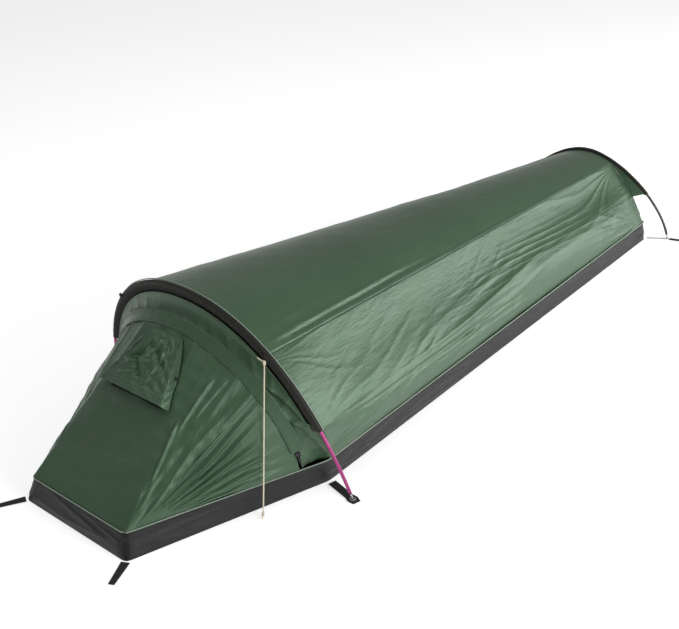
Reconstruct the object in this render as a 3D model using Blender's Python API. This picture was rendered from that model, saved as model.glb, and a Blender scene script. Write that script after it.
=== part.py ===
# One-person hooped bivy sack, pitched.
# Lengths are metres. +Z is up, the head end faces -Y and the foot end +Y.
# Depths are first counted back from the front floor edge, then moved so the object is centred on the origin.
import math

import bmesh
import bpy
import numpy as np

for old in list(bpy.data.objects):
    bpy.data.objects.remove(old, do_unlink=True)

# ---- driving sizes -------------------------------------------------------

floor_length = 2.20
front_half_width = 0.1925
shoulder_half_width = 0.342
foot_half_width = 0.2335
shoulder_depth = 0.518
tub_height = 0.062
tub_front_lean = 0.020
tub_side_lean = 0.016
tub_corner_trim = 0.012
tub_wall = 0.0018

front_hoop_height = 0.470
front_hoop_half_span = 0.438
front_hoop_depth = 0.496
front_hoop_lean = 0.0906
front_foot_handle = (0.052, 0.2716)
front_crown_handle = 0.2444
front_sleeve_end = 0.190

rear_hoop_height = 0.2666
rear_hoop_half_span = 0.294
rear_hoop_overhang = 0.0386
rear_hoop_lean = 0.0386
rear_foot_handle = (0.010, 0.1326)
rear_crown_handle = 0.1141
rear_sleeve_end = 0.150

front_seam_share = 0.296
rear_seam_share = 0.386

pole_radius = 0.00425
pole_bore = 0.0034
tip_radius = 0.0026
tip_length = 0.016
ferrule_radius = 0.00315
ferrule_bore = 0.0018
shock_cord_radius = 0.0012
joint_gap = 0.0004

sleeve_wall = 0.0012
sleeve_room = 0.0009
sleeve_tongue = 0.030
rear_sleeve_tongue = 0.009
piping_radius = 0.0016

arch_rise = 0.322
arch_centre_depth = 0.4445
arch_centre_height = 0.0823
arch_edge_room = 0.00443
arch_foot_room = 0.0019
arch_lean = math.radians(13.9)
arch_low_angle = math.radians(4.0)
zip_under_brow = math.radians(2.1)
flap_end_angle = math.radians(3.5)
flap_sewn = 0.012
flap_reach = 0.020
flap_room = 0.00367

cloth = 0.0012
seam_gap = 0.0022
webbing = 0.0016
webbing_width = 0.022
door_corner_share = 0.40
door_side_tuck = 0.11
door_split = 10

vent_top_half = 0.055
vent_low_half = 0.113
vent_top_share = 0.045
vent_low_share = 0.395
vent_lift = 0.030

front_loop_reach = 0.070
front_loop_splay = 0.036
rear_loop_reach = 0.046
ring_inner = 0.0052
ring_outer = 0.0078

guy_radius = 0.0017
guy_foot = (0.318, 0.314)

# ---- colours: red, green, blue, roughness, metallic ------------------------

looks = {
    "shell_green": (0.062, 0.105, 0.065, 0.55, 0.0),
    "tub_black": (0.022, 0.023, 0.022, 0.60, 0.0),
    "sleeve_black": (0.018, 0.017, 0.015, 0.75, 0.0),
    "webbing_black": (0.016, 0.016, 0.016, 0.80, 0.0),
    "piping_grey": (0.200, 0.260, 0.200, 0.60, 0.0),
    "mesh_dark": (0.020, 0.026, 0.021, 0.85, 0.0),
    "purple_tube": (0.250, 0.045, 0.150, 0.30, 0.9),
    "grey_tube": (0.120, 0.120, 0.125, 0.35, 0.9),
    "bare_alloy": (0.550, 0.550, 0.560, 0.30, 1.0),
    "zip_black": (0.015, 0.017, 0.015, 0.50, 0.0),
    "elastic_white": (0.600, 0.600, 0.580, 0.80, 0.0),
    "guy_cream": (0.700, 0.640, 0.480, 0.75, 0.0),
}
materials = {}
for look_name, values in looks.items():
    material = bpy.data.materials.new(look_name)
    material.use_nodes = True
    shader = material.node_tree.nodes["Principled BSDF"]
    shader.inputs["Base Color"].default_value = (*values[:3], 1.0)
    shader.inputs["Roughness"].default_value = values[3]
    shader.inputs["Metallic"].default_value = values[4]
    materials[look_name] = material

# the forward reach of the front loops and the backward reach of the rear loops set the middle of the object
rear_reach = rear_hoop_overhang + rear_loop_reach * 0.35
front_edge = -(floor_length + rear_reach - front_loop_reach) / 2


def placed(points):
    """Moves points from depth behind the front edge to the object's own frame."""
    moved = np.array(points, float)
    moved[..., 1] += front_edge
    return moved


def node_from(name, points, faces, look, smooth=True):
    mesh = bpy.data.meshes.new(name)
    mesh.from_pydata([tuple(p) for p in placed(points)], [], faces)
    work = bmesh.new()
    work.from_mesh(mesh)
    bmesh.ops.remove_doubles(work, verts=work.verts, dist=1e-6)
    bmesh.ops.dissolve_degenerate(work, edges=work.edges, dist=1e-6)
    bmesh.ops.recalc_face_normals(work, faces=work.faces)
    for face in work.faces:
        face.smooth = smooth
    work.to_mesh(mesh)
    work.free()
    mesh.materials.append(materials[look])
    made = bpy.data.objects.new(name, mesh)
    bpy.context.collection.objects.link(made)
    return made


def grid_faces(rows, columns, start=0, wrap_columns=False):
    faces = []
    for r in range(rows - 1):
        for c in range(columns if wrap_columns else columns - 1):
            d = (c + 1) % columns
            faces.append((start + r * columns + c, start + r * columns + d,
                          start + (r + 1) * columns + d, start + (r + 1) * columns + c))
    return faces


def grid_normals(grid):
    along = np.gradient(grid, axis=0)
    across = np.gradient(grid, axis=1)
    normal = np.cross(along, across)
    return normal / np.linalg.norm(normal, axis=-1, keepdims=True)


def shell(name, grid, thickness, look, inside=(0.0, 1.1, 0.1)):
    """A closed sheet whose outer face is the grid and whose thickness goes towards the inside point."""
    grid = np.array(grid, float)
    rows, columns = grid.shape[:2]
    normal = grid_normals(grid)
    middle = grid.reshape(-1, 3).mean(0)
    if (normal.reshape(-1, 3).mean(0) @ (np.array(inside) - middle)) < 0:
        normal = -normal
    inner = grid + normal * thickness
    points = np.concatenate([grid.reshape(-1, 3), inner.reshape(-1, 3)])
    size = rows * columns
    faces = grid_faces(rows, columns)
    faces += [tuple(reversed(f)) for f in grid_faces(rows, columns, size)]
    rim = [c for c in range(columns)]
    rim += [r * columns + columns - 1 for r in range(1, rows)]
    rim += [(rows - 1) * columns + c for c in range(columns - 2, -1, -1)]
    rim += [r * columns for r in range(rows - 2, 0, -1)]
    for k, here in enumerate(rim):
        there = rim[(k + 1) % len(rim)]
        faces.append((here, there, there + size, here + size))
    return node_from(name, points, faces, look)


def frames_along(path, up):
    """Tangent, side and up vectors at every point; up is kept square to the path."""
    path = np.array(path, float)
    tangent = np.gradient(path, axis=0)
    tangent /= np.linalg.norm(tangent, axis=1, keepdims=True)
    lift = np.broadcast_to(np.array(up, float), path.shape).copy()
    lift -= tangent * (lift * tangent).sum(1, keepdims=True)
    lift /= np.linalg.norm(lift, axis=1, keepdims=True)
    return tangent, np.cross(tangent, lift), lift


def sweep(name, path, section, up, look, hole=None):
    """Sweeps a closed section (side, up pairs) along a path; a hole section makes it an open-ended tube."""
    path = np.array(path, float)
    _, side, lift = frames_along(path, up)
    rings = []
    for loop in (section, hole) if hole is not None else (section,):
        loop = np.array(loop, float)
        rings.append(path[:, None] + side[:, None] * loop[None, :, :1] + lift[:, None] * loop[None, :, 1:])
    rows, columns = rings[0].shape[:2]
    size = rows * columns
    points = np.concatenate([ring.reshape(-1, 3) for ring in rings])
    faces = grid_faces(rows, columns, 0, True)
    last = (rows - 1) * columns
    if hole is None:
        faces.append(tuple(range(columns)))
        faces.append(tuple(range(last + columns - 1, last - 1, -1)))
    else:
        faces += [tuple(reversed(f)) for f in grid_faces(rows, columns, size, True)]
        for c in range(columns):
            d = (c + 1) % columns
            faces.append((c, d, size + d, size + c))
            faces.append((last + c, last + d, size + last + d, size + last + c))
    return node_from(name, points, faces, look)


def circle(radius, sides, turn=0.0):
    angles = np.linspace(0, 2 * math.pi, sides, endpoint=False) + turn
    return np.stack([radius * np.cos(angles), radius * np.sin(angles)], 1)


def band(low, high, bottom, top):
    return [(low, bottom), (high, bottom), (high, top), (low, top)]


def resampled(path, shares):
    """Points at the given shares of a polyline's length."""
    path = np.array(path, float)
    steps = np.linalg.norm(np.diff(path, axis=0), axis=1)
    reach = np.concatenate([[0.0], np.cumsum(steps)]) / steps.sum()
    return np.stack([np.interp(shares, reach, path[:, k]) for k in range(3)], 1)


# ---- guiding curves --------------------------------------------------------

def hoop_curve(half_span, height, foot_handle, crown_handle, foot_depth, lean, count=401):
    """A bent pole from left foot to right foot: one cubic curve per half, level at the crown."""
    t = np.linspace(0, 1, count // 2 + 1)[:, None]
    corners = np.array([[half_span, 0.0], [half_span - foot_handle[0], foot_handle[1]],
                        [crown_handle, height], [0.0, height]])
    half = ((1 - t) ** 3 * corners[0] + 3 * (1 - t) ** 2 * t * corners[1]
            + 3 * (1 - t) * t ** 2 * corners[2] + t ** 3 * corners[3])
    right = np.stack([half[:, 0], foot_depth - lean * half[:, 1] / height, half[:, 1]], 1)
    left = right * np.array([-1.0, 1.0, 1.0])
    both = np.concatenate([left, right[::-1][1:]])
    return resampled(both, np.linspace(0, 1, count))


def share_at_height(curve, height):
    """Share of the curve's length, from its left foot, at which it first reaches a height."""
    index = int(np.argmax(curve[:, 2] >= height))
    return index / (len(curve) - 1)


front_hoop = hoop_curve(front_hoop_half_span, front_hoop_height, front_foot_handle, front_crown_handle,
                        front_hoop_depth, front_hoop_lean)
rear_hoop = hoop_curve(rear_hoop_half_span, rear_hoop_height, rear_foot_handle, rear_crown_handle,
                       floor_length + rear_hoop_overhang, rear_hoop_lean)
front_forward = np.array([0.0, -front_hoop_height, -front_hoop_lean])
front_forward /= np.linalg.norm(front_forward)
rear_forward = np.array([0.0, -rear_hoop_height, -rear_hoop_lean])
rear_forward /= np.linalg.norm(rear_forward)
front_sleeve_share = share_at_height(front_hoop, front_sleeve_end)
rear_sleeve_share = share_at_height(rear_hoop, rear_sleeve_end)

tub_top = {
    "front": (front_half_width - tub_side_lean, tub_front_lean, tub_height),
    "shoulder": (shoulder_half_width, shoulder_depth, tub_height),
    "foot": (foot_half_width - 0.005, floor_length - 0.004, tub_height),
}


def mirrored(point, side):
    return np.array([point[0] * side, point[1], point[2]])


def edge_half_width(depth):
    """Half the width of the tub's top edge at a depth in front of the shoulders."""
    front, shoulder = tub_top["front"], tub_top["shoulder"]
    return front[0] + (shoulder[0] - front[0]) * (depth - front[1]) / (shoulder[1] - front[1])


# the zip arch stands on the tub's edge, so its width follows the tub
arch_half_width = edge_half_width(arch_centre_depth) + arch_edge_room
arch_foot_depth = arch_centre_depth + 0.0015
arch_foot_half_width = edge_half_width(arch_foot_depth) + arch_foot_room
arch_forward = np.array([0.0, -math.cos(arch_lean), -math.sin(arch_lean)])
arch_up = np.array([0.0, -math.sin(arch_lean), math.cos(arch_lean)])
arch_centre = np.array([0.0, arch_centre_depth, arch_centre_height])
sleeve_radius = pole_radius + sleeve_room + sleeve_wall

# inner edge of the front sleeve's tongue, where the brow is sewn on
sleeve_edge = resampled(front_hoop, np.linspace(front_sleeve_share, 1 - front_sleeve_share, 61))
sleeve_middle = np.array([0.0, front_hoop_depth - 0.06, 0.10])
inwards = sleeve_middle - sleeve_edge
inwards -= front_forward * (inwards @ front_forward)[:, None]
inwards /= np.linalg.norm(inwards, axis=1, keepdims=True)
sleeve_edge = sleeve_edge + inwards * (sleeve_tongue * 0.75) + front_forward * (sleeve_radius + 0.0015)

# the zip lies a little flatter than the brow does at the top of the arch
brow_rise = sleeve_edge[30] - (arch_centre + arch_up * arch_rise)
brow_tilt = math.atan2(brow_rise @ arch_up, -(brow_rise @ arch_forward))
zip_face_tilt = brow_tilt - zip_under_brow


def arch_frame(angle):
    """Point on the zip arch, the way across the zip and the way out of it, at an angle from the right side."""
    point = arch_centre + arch_up * arch_rise * math.sin(angle)
    point = point + np.array([arch_half_width * math.cos(angle), 0.0, 0.0])
    outward = arch_up * (math.sin(angle) / arch_rise)
    outward = outward + np.array([math.cos(angle) / arch_half_width, 0.0, 0.0])
    outward /= np.linalg.norm(outward)
    across = outward * math.sin(zip_face_tilt) - arch_forward * math.cos(zip_face_tilt)
    out = outward * math.cos(zip_face_tilt) + arch_forward * math.sin(zip_face_tilt)
    return point, across, out


def arch_path(across_by, out_by, first=math.pi - arch_low_angle, last=arch_low_angle, count=61):
    path = []
    for angle in np.linspace(first, last, count):
        point, across, out = arch_frame(angle)
        path.append(point + across * across_by + out * out_by)
    return np.array(path)


def cloth_arch(across_by):
    """The whole edge of the cloth along the zip: the arc and its two straight ends down to the tub."""
    arc = arch_path(across_by, 0.0)
    foot = np.array([arch_foot_half_width, arch_foot_depth + across_by, tub_height + 0.004])
    left = np.linspace(mirrored(foot, -1), arc[0], 6)[:-1]
    right = np.linspace(arc[-1], foot, 6)[1:]
    return np.concatenate([left, arc, right])


# ---- bathtub floor ---------------------------------------------------------

def rounded_outline(corners, trim):
    """Replaces every corner by a short cut from one side to the next, and adds points along the sides."""
    corners = np.array(corners, float)
    outline = []
    for k, corner in enumerate(corners):
        before = corners[k - 1] - corner
        after = corners[(k + 1) % len(corners)] - corner
        start = corner + before / np.linalg.norm(before) * trim
        end = corner + after / np.linalg.norm(after) * trim
        outline += [start, (start + end + corner * 2) / 4, end]
        far = corners[(k + 1) % len(corners)] - after / np.linalg.norm(after) * trim
        for share in (0.2, 0.4, 0.6, 0.8):
            outline.append(end + (far - end) * share)
    return np.array(outline)


def coffin(plan, height):
    """Outline of the floor at a height, with trimmed corners."""
    corners = [(x, y, 0.0) for x, y in plan] + [(-x, y, 0.0) for x, y in reversed(plan)]
    outline = rounded_outline(corners, tub_corner_trim)
    outline[:, 2] = height
    return outline


def pushed_out(outline, distance):
    """The outline moved level and square to itself, outwards for a positive distance."""
    along = np.roll(outline, -1, 0) - np.roll(outline, 1, 0)
    along /= np.linalg.norm(along, axis=1, keepdims=True)
    return outline + np.cross(along, (0.0, 0.0, 1.0)) * distance


base_plan = ((front_half_width, 0.0), (shoulder_half_width, shoulder_depth), (foot_half_width, floor_length))
top_plan = [tub_top[name][:2] for name in ("front", "shoulder", "foot")]
base_outline = coffin(base_plan, 0.0)
top_outline = coffin(top_plan, tub_height)
wall_rows = []
for share in (0.0, 0.34, 0.67, 1.0):
    wall_rows.append(base_outline * (1 - share) + top_outline * share)
tub_rings = wall_rows + [pushed_out(row, -tub_wall) for row in reversed(wall_rows)]
tub_rings[-1][:, 2] = tub_wall
ring_size = len(base_outline)
tub_faces = []
for ring_number in range(len(tub_rings) - 1):
    low = ring_number * ring_size
    inner_wall = ring_number >= len(wall_rows)
    for c in range(ring_size):
        d = (c + 1) % ring_size
        a, b, e, f = low + c, low + d, low + ring_size + d, low + ring_size + c
        # both sides of the wall are split along the same diagonal, so that it keeps its thickness
        tub_faces += [(a, b, f), (b, e, f)] if inner_wall else [(a, b, e), (a, e, f)]
top_ring = (len(tub_rings) - 1) * ring_size
tub_faces.append(tuple(range(ring_size - 1, -1, -1)))
tub_faces.append(tuple(range(top_ring, top_ring + ring_size)))
node_from("tub_floor", np.concatenate(tub_rings), tub_faces, "tub_black", smooth=False)

piping_path = pushed_out(top_outline, 0.0006 + piping_radius)
piping_path[:, 2] = tub_height + 0.0002
loop_tangent = np.roll(piping_path, -1, 0) - np.roll(piping_path, 1, 0)
loop_tangent /= np.linalg.norm(loop_tangent, axis=1, keepdims=True)
loop_side = np.cross(loop_tangent, (0.0, 0.0, 1.0))
piping_section = circle(piping_radius, 6)
piping_points = (piping_path[:, None] + loop_side[:, None] * piping_section[None, :, :1]
                 + np.array([0.0, 0.0, 1.0]) * piping_section[None, :, 1:])
piping_faces = []
for r in range(ring_size):
    for c in range(6):
        s, d = (r + 1) % ring_size, (c + 1) % 6
        piping_faces.append((r * 6 + c, r * 6 + d, s * 6 + d, s * 6 + c))
node_from("tub_piping", piping_points.reshape(-1, 3), piping_faces, "piping_grey")

# ---- canopy ----------------------------------------------------------------

cloth_base = tub_height + 0.0035
behind_front = -front_forward * (sleeve_radius + 0.002)
before_rear = rear_forward * (sleeve_radius + 0.002)


def share_curve(curve, low, high, count):
    return resampled(curve, np.linspace(low, high, count))


def hoop_side_edge(side, count):
    """Front edge of a side panel: along the hoop from the roof seam to the sleeve end, then in to the tub."""
    seam_share = 1 - front_seam_share
    curve = share_curve(front_hoop, seam_share, 1 - front_sleeve_share, 24) + behind_front
    foot = np.array([tub_top["shoulder"][0] + 0.001, shoulder_depth + 0.012, cloth_base])
    curve = np.concatenate([curve, np.linspace(curve[-1], foot, 9)[1:]])
    curve = resampled(curve, np.linspace(0, 1, count))
    return curve * np.array([side, 1.0, 1.0])


def rear_side_edge(side, count):
    """Rear edge of a side panel, from the end of the roof seam on the rear hoop down to the tub corner."""
    top = resampled(rear_hoop, np.array([1 - rear_seam_share]))[0] + before_rear
    low = np.array([tub_top["foot"][0] + 0.001, floor_length - 0.012, cloth_base])
    middle = (top + low) / 2 + np.array([0.012, 0.0, 0.008])
    curve = resampled(np.array([top, middle, low]), np.linspace(0, 1, count))
    return curve * np.array([side, 1.0, 1.0])


def loft(front_edge_curve, rear_edge_curve, count, sag=0.0):
    """Straight lines from one edge to the other, drawn slightly towards the axis of the tent in the middle."""
    t = np.linspace(0, 1, count)[:, None, None]
    grid = front_edge_curve[None] * (1 - t) + rear_edge_curve[None] * t
    pull = 4 * t * (1 - t) * sag
    heart = np.array([0.0, 0.0, 0.10])
    inward = heart - grid * np.array([1.0, 0.0, 1.0])
    inward /= np.linalg.norm(inward, axis=-1, keepdims=True)
    return grid + inward * pull


def trimmed(grid, rows=(0.0, 0.0), columns=(0.0, 0.0)):
    """Cuts a fixed width off the sides of a grid, so that neighbours keep a gap."""
    grid = np.array(grid, float)
    for axis, (first, last) in ((0, rows), (1, columns)):
        grid = np.swapaxes(grid, 0, axis)
        for end, cut in ((0, first), (-1, last)):
            if cut:
                inner = grid[1] if end == 0 else grid[-2]
                way = inner - grid[end]
                grid[end] += way / np.maximum(np.linalg.norm(way, axis=-1, keepdims=True), 1e-6) * cut
        grid = np.swapaxes(grid, 0, axis)
    return grid


roof_front = share_curve(front_hoop, front_seam_share, 1 - front_seam_share, 19) + behind_front
roof_rear = share_curve(rear_hoop, rear_seam_share, 1 - rear_seam_share, 19) + before_rear
roof_grid = trimmed(loft(roof_front, roof_rear, 17, sag=0.006), columns=(seam_gap / 2, seam_gap / 2))
shell("roof_panel", roof_grid, cloth, "shell_green")
for side, side_name in ((1, "right"), (-1, "left")):
    side_grid = loft(hoop_side_edge(side, 15), rear_side_edge(side, 15), 17, sag=0.004)
    shell("side_panel_" + side_name, trimmed(side_grid, columns=(seam_gap / 2, 0.0)), cloth, "shell_green")

# the foot panel closes the end between the two side panels, under the rear hoop
foot_top = np.concatenate([rear_side_edge(-1, 9)[::-1], roof_rear[1:-1], rear_side_edge(1, 9)])
foot_line = np.linspace(mirrored(rear_side_edge(1, 2)[-1], -1), rear_side_edge(1, 2)[-1], len(foot_top))
foot_rows = np.linspace(0, 1, 7)[:, None, None]
foot_grid = foot_line[None] * (1 - foot_rows) + foot_top[None] * foot_rows
foot_heart = np.array([0.0, 0.0, 0.12])
foot_grid = foot_grid[:, 2:-2]
foot_grid = (foot_grid - foot_heart) * np.array([0.965, 1.0, 0.965]) + foot_heart
foot_grid[..., 1] = floor_length - 0.0060
foot_grid[..., 2] = np.maximum(foot_grid[..., 2], cloth_base)
shell("foot_panel", foot_grid, cloth, "shell_green")

for side, side_name in ((1, "right"), (-1, "left")):
    inner_edge = rear_side_edge(side, 21)[3:15]
    outer_edge = share_curve(rear_hoop, 1 - rear_seam_share + 0.035, 1 - rear_sleeve_share - 0.008, 12)
    outer_edge = outer_edge * np.array([side, 1.0, 1.0]) + before_rear
    inner_edge = inner_edge + np.array([0.004 * side, 0.006, 0.0])
    across = np.linspace(0.10, 0.96, 6)[:, None, None]
    wing_grid = inner_edge[None] * (1 - across) + outer_edge[None] * across
    shell("foot_wing_" + side_name, wing_grid, cloth, "shell_green", inside=(0.0, floor_length + 1.0, 0.1))

# ---- hood in front of the hoop: brow, zip and door ----------------------------

brow_count = 41
brow_low = resampled(cloth_arch(0.0052), np.linspace(0, 1, brow_count))
hoop_foot = np.array([tub_top["shoulder"][0] + 0.001, shoulder_depth - 0.006, cloth_base])
brow_high = np.concatenate([
    np.linspace(mirrored(hoop_foot, -1), sleeve_edge[0], 8)[:-1], sleeve_edge,
    np.linspace(sleeve_edge[-1], hoop_foot, 8)[1:]])
brow_high = resampled(brow_high, np.linspace(0, 1, brow_count))
brow_rows = np.linspace(0, 1, 5)[:, None, None]
brow_grid = brow_low[None] * (1 - brow_rows) + brow_high[None] * brow_rows
shell("brow_panel", brow_grid, cloth, "shell_green", inside=(0.0, 0.9, 0.0))

door_count = 45
door_shares = np.linspace(0, 1, door_count)
door_edge = resampled(cloth_arch(-0.0052), door_shares)
door_edge[:, 2] = np.maximum(door_edge[:, 2], cloth_base)


def door_foot(share):
    """Where the thread of cloth that ends at this share of the zip starts on the tub."""
    side = 1.0 if share > 0.5 else -1.0
    spread = abs(share - 0.5) * 2
    corner = np.array([tub_top["front"][0], tub_top["front"][1] + 0.0005, cloth_base])
    if spread < 1 - 2 * door_corner_share:
        return mirrored(corner * np.array([spread / (1 - 2 * door_corner_share), 1.0, 1.0]), side)
    along = (spread - (1 - 2 * door_corner_share)) / (2 * door_corner_share)
    end = np.array([arch_foot_half_width, arch_foot_depth, cloth_base])
    way = (end - corner) / np.linalg.norm(end - corner)
    return mirrored(corner + way * door_side_tuck * along ** 1.5, side)


door_feet = np.array([door_foot(share) for share in door_shares])
door_rows = np.linspace(0, 1, 13)[:, None, None]
door_grid = door_feet[None] * (1 - door_rows) + door_edge[None] * door_rows
door_normal = grid_normals(door_grid)
if door_normal[6, door_count // 2, 1] > 0:
    door_normal = -door_normal

# the vent opening is a slot in the door under the awning
vent_first, vent_last = 19, 25
vent_row_low, vent_row_high = 7, 8


def door_point(across, up_share):
    """A point of the flat front face: across in metres from the centre line, up as a share of its length."""
    low = np.array([0.0, tub_top["front"][1] + 0.0005, cloth_base])
    high = door_edge[door_count // 2]
    return low + (high - low) * up_share + np.array([across, 0.0, 0.0])


# the middle leaf opens as the door and the two side leaves are sewn along the tub
door_leaf = trimmed(door_grid[:, door_split:door_count - door_split], columns=(seam_gap / 2, seam_gap / 2))
leaf_normal = door_normal[:, door_split:door_count - door_split]
rows, columns = door_leaf.shape[:2]
door_points = np.concatenate([door_leaf.reshape(-1, 3), (door_leaf - leaf_normal * cloth).reshape(-1, 3)])
layer = rows * columns
door_faces = []
for r in range(rows - 1):
    for c in range(columns - 1):
        if vent_row_low <= r < vent_row_high and vent_first <= c + door_split < vent_last:
            continue
        a, b = r * columns + c, r * columns + c + 1
        d, e = a + columns, b + columns
        door_faces.append((a, b, e, d))
        door_faces.append((a + layer, d + layer, e + layer, b + layer))
rim_edges = {}
for face in door_faces:
    if max(face) < layer:
        for k in range(4):
            edge = (face[k], face[(k + 1) % 4])
            key = tuple(sorted(edge))
            rim_edges[key] = None if key in rim_edges else edge
for edge in rim_edges.values():
    if edge is not None:
        door_faces.append((edge[1], edge[0], edge[0] + layer, edge[1] + layer))
node_from("door_panel", door_points, door_faces, "shell_green")
right_leaf = trimmed(door_grid[:, door_count - 1 - door_split:], columns=(seam_gap / 2, 0.0))
left_leaf = trimmed(door_grid[:, :door_split + 1], columns=(0.0, seam_gap / 2))
for side_name, leaf in (("right", right_leaf), ("left", left_leaf)):
    shell("hood_side_" + side_name, leaf, cloth, "shell_green", inside=(0.0, 0.9, -0.2))


def out_of_zip(first, last, count):
    return np.array([arch_frame(angle)[2] for angle in np.linspace(first, last, count)])


zip_up = out_of_zip(math.pi - arch_low_angle, arch_low_angle, 61)
arch_line = arch_path(0.0, 0.0)
# the sweep's side vector points back across the zip, so the door side is positive here
leaf_share = (door_edge[door_count - 1 - door_split] - arch_centre) @ arch_up / arch_rise
leaf_angle = math.asin(leaf_share) + 0.004
leaf_zip = arch_path(0.0, 0.0, math.pi - leaf_angle, leaf_angle, 45)
leaf_zip_up = out_of_zip(math.pi - leaf_angle, leaf_angle, 45)
sweep("zip_half_door", leaf_zip, band(0.00025, 0.0042, -0.001, 0.001), leaf_zip_up, "zip_black")
sweep("zip_half_brow", arch_line, band(-0.0042, -0.00025, -0.001, 0.001), zip_up, "zip_black")
flap_first = arch_low_angle + flap_end_angle


def brow_proud():
    """How far the brow stands out of the zip's face under the sewn edge of the flap, at the most."""
    low = resampled(cloth_arch(0.0052), np.linspace(0, 1, 401))
    high = resampled(brow_high, np.linspace(0, 1, 401))
    angles = np.linspace(math.pi - flap_first, flap_first, 241)
    frames = [arch_frame(angle) for angle in angles]
    proud = []
    for share in np.linspace(0, 0.4, 41):
        points = low * (1 - share) + high * share
        for point, across, out in frames:
            along = np.cross(across, out)
            offset = points - point
            near = (np.abs(offset @ along) < 0.003) & (np.abs(offset @ across - flap_sewn / 2) < flap_sewn / 2 + 0.001)
            if near.any():
                proud.append((offset[near] @ out).max())
    return max(proud)


flap_lift = brow_proud() + flap_room
flap_section = [(flap_sewn, flap_lift), (flap_sewn, flap_lift + cloth),
                (-flap_reach, flap_lift + cloth), (-flap_reach, flap_lift)]
flap_line = arch_path(0.0, 0.0, math.pi - flap_first, flap_first)
flap_up = out_of_zip(math.pi - flap_first, flap_first, 61)
sweep("storm_flap", flap_line, flap_section[::-1], flap_up, "shell_green")

slider_angle = arch_low_angle + math.radians(1.6)
slider_point, slider_across, slider_out = arch_frame(slider_angle)
slider_along = np.cross(slider_across, slider_out)


def block(name, centre, axes, sizes, look):
    """A box with the given middle, directions and full sizes."""
    corners = []
    halves = [np.array(axis) * size / 2 for axis, size in zip(axes, sizes)]
    for i in (-1, 1):
        for j in (-1, 1):
            for k in (-1, 1):
                corners.append(centre + halves[0] * i + halves[1] * j + halves[2] * k)
    faces = [(0, 1, 3, 2), (4, 6, 7, 5), (0, 4, 5, 1), (2, 3, 7, 6), (0, 2, 6, 4), (1, 5, 7, 3)]
    return node_from(name, np.array(corners), faces, look, smooth=False)


block("zip_slider", slider_point + slider_out * 0.0028, (slider_along, slider_across, slider_out),
      (0.010, 0.0075, 0.0026), "bare_alloy")
slider_down = -slider_along if slider_along[2] > 0 else slider_along
block("zip_pull", slider_point + slider_out * 0.0028 + slider_down * 0.0195,
      (slider_along, slider_across, slider_out), (0.026, 0.0045, 0.0014), "webbing_black")

# ---- vent in the door --------------------------------------------------------

face_low = door_point(0.0, 0.0)
face_high = door_point(0.0, 1.0)
face_up = (face_high - face_low) / np.linalg.norm(face_high - face_low)
face_out = np.cross(face_up, (1.0, 0.0, 0.0))
if face_out[1] > 0:
    face_out = -face_out
vent_top_point = door_point(0.0, 1 - vent_top_share)
vent_low_point = door_point(0.0, 1 - vent_low_share)
vent_base_lift = 0.0022


def awning(across_share, down_share):
    """A point of the awning: it leaves the face at the top seam and stands off it at the hem."""
    half = vent_top_half + (vent_low_half - vent_top_half) * down_share
    lift = vent_base_lift + vent_lift * down_share * (1 - 0.35 * across_share ** 2)
    return (vent_top_point + (vent_low_point - vent_top_point) * down_share
            + np.array([half * across_share, 0.0, 0.0]) + face_out * lift)


awning_grid = np.array([[awning(a, d) for a in np.linspace(-0.97, 0.97, 11)] for d in np.linspace(0.02, 1, 9)])
shell("vent_cover", awning_grid, cloth, "shell_green", inside=tuple(face_low + np.array([0.0, 0.5, 0.0])))
hem_grid = np.array([[awning(a, d) - face_out * (cloth + 0.0006) for a in np.linspace(-0.9, 0.9, 7)]
                     for d in (0.90, 0.985)])
shell("vent_stiffener", hem_grid, 0.0010, "webbing_black", inside=tuple(face_low + np.array([0.0, 0.5, 0.0])))
for side, side_name in ((1, "right"), (-1, "left")):
    gusset = []
    for d in np.linspace(0.10, 1, 7):
        top = awning(side * 0.985, d) + np.array([side * 0.0016, 0.0, 0.0])
        lift = (top - vent_top_point) @ face_out
        gusset.append([top - face_out * (lift - vent_base_lift) * s for s in np.linspace(0.0, 1.0, 4)])
    shell("vent_gusset_" + side_name, np.array(gusset), cloth, "shell_green", inside=(0.0, face_low[1], 0.2))
mesh_grid = np.array([[door_grid[r, c] + door_normal[r, c] * -(cloth + 0.0012) for c in range(18, 27)]
                      for r in range(6, 10)])
shell("vent_mesh", mesh_grid, 0.0006, "mesh_dark", inside=(0.0, 1.5, 0.0))
tab_middle = awning(0.985, 0.55) + np.array([0.012, 0.0, 0.0]) + face_out * -0.010
block("vent_tab", tab_middle, ((1.0, 0.0, 0.0), face_up, face_out), (0.014, 0.007, 0.0012), "shell_green")

# ---- hoops -----------------------------------------------------------------

def sleeve(name, curve, forward, low_share, tongue, look):
    """A cloth tube round the pole with a flat tongue sewn to the canopy on its inner front side."""
    path = share_curve(curve, low_share, 1 - low_share, 37)
    # side points out of the hoop and lift points forward
    sides = 14
    angles = np.linspace(0, 2 * math.pi, sides, endpoint=False)
    outer = np.stack([sleeve_radius * np.cos(angles), sleeve_radius * np.sin(angles)], 1)
    bore = outer * ((pole_radius + sleeve_room) / sleeve_radius)
    flat = np.array(outer)
    back = int(sides / 2)
    flat[back - 1] = (-tongue, 0.0010)
    flat[back] = (-tongue, -0.0004)
    flat[back - 2] = (-sleeve_radius * 0.95, 0.0026)
    flat[back + 1] = (-sleeve_radius * 0.95, -0.0030)
    return sweep(name, path, flat, -forward, look, hole=bore)


sleeve("front_sleeve", front_hoop, front_forward, front_sleeve_share, sleeve_tongue, "sleeve_black")
sleeve("rear_sleeve", rear_hoop, rear_forward, rear_sleeve_share, rear_sleeve_tongue, "sleeve_black")

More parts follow.
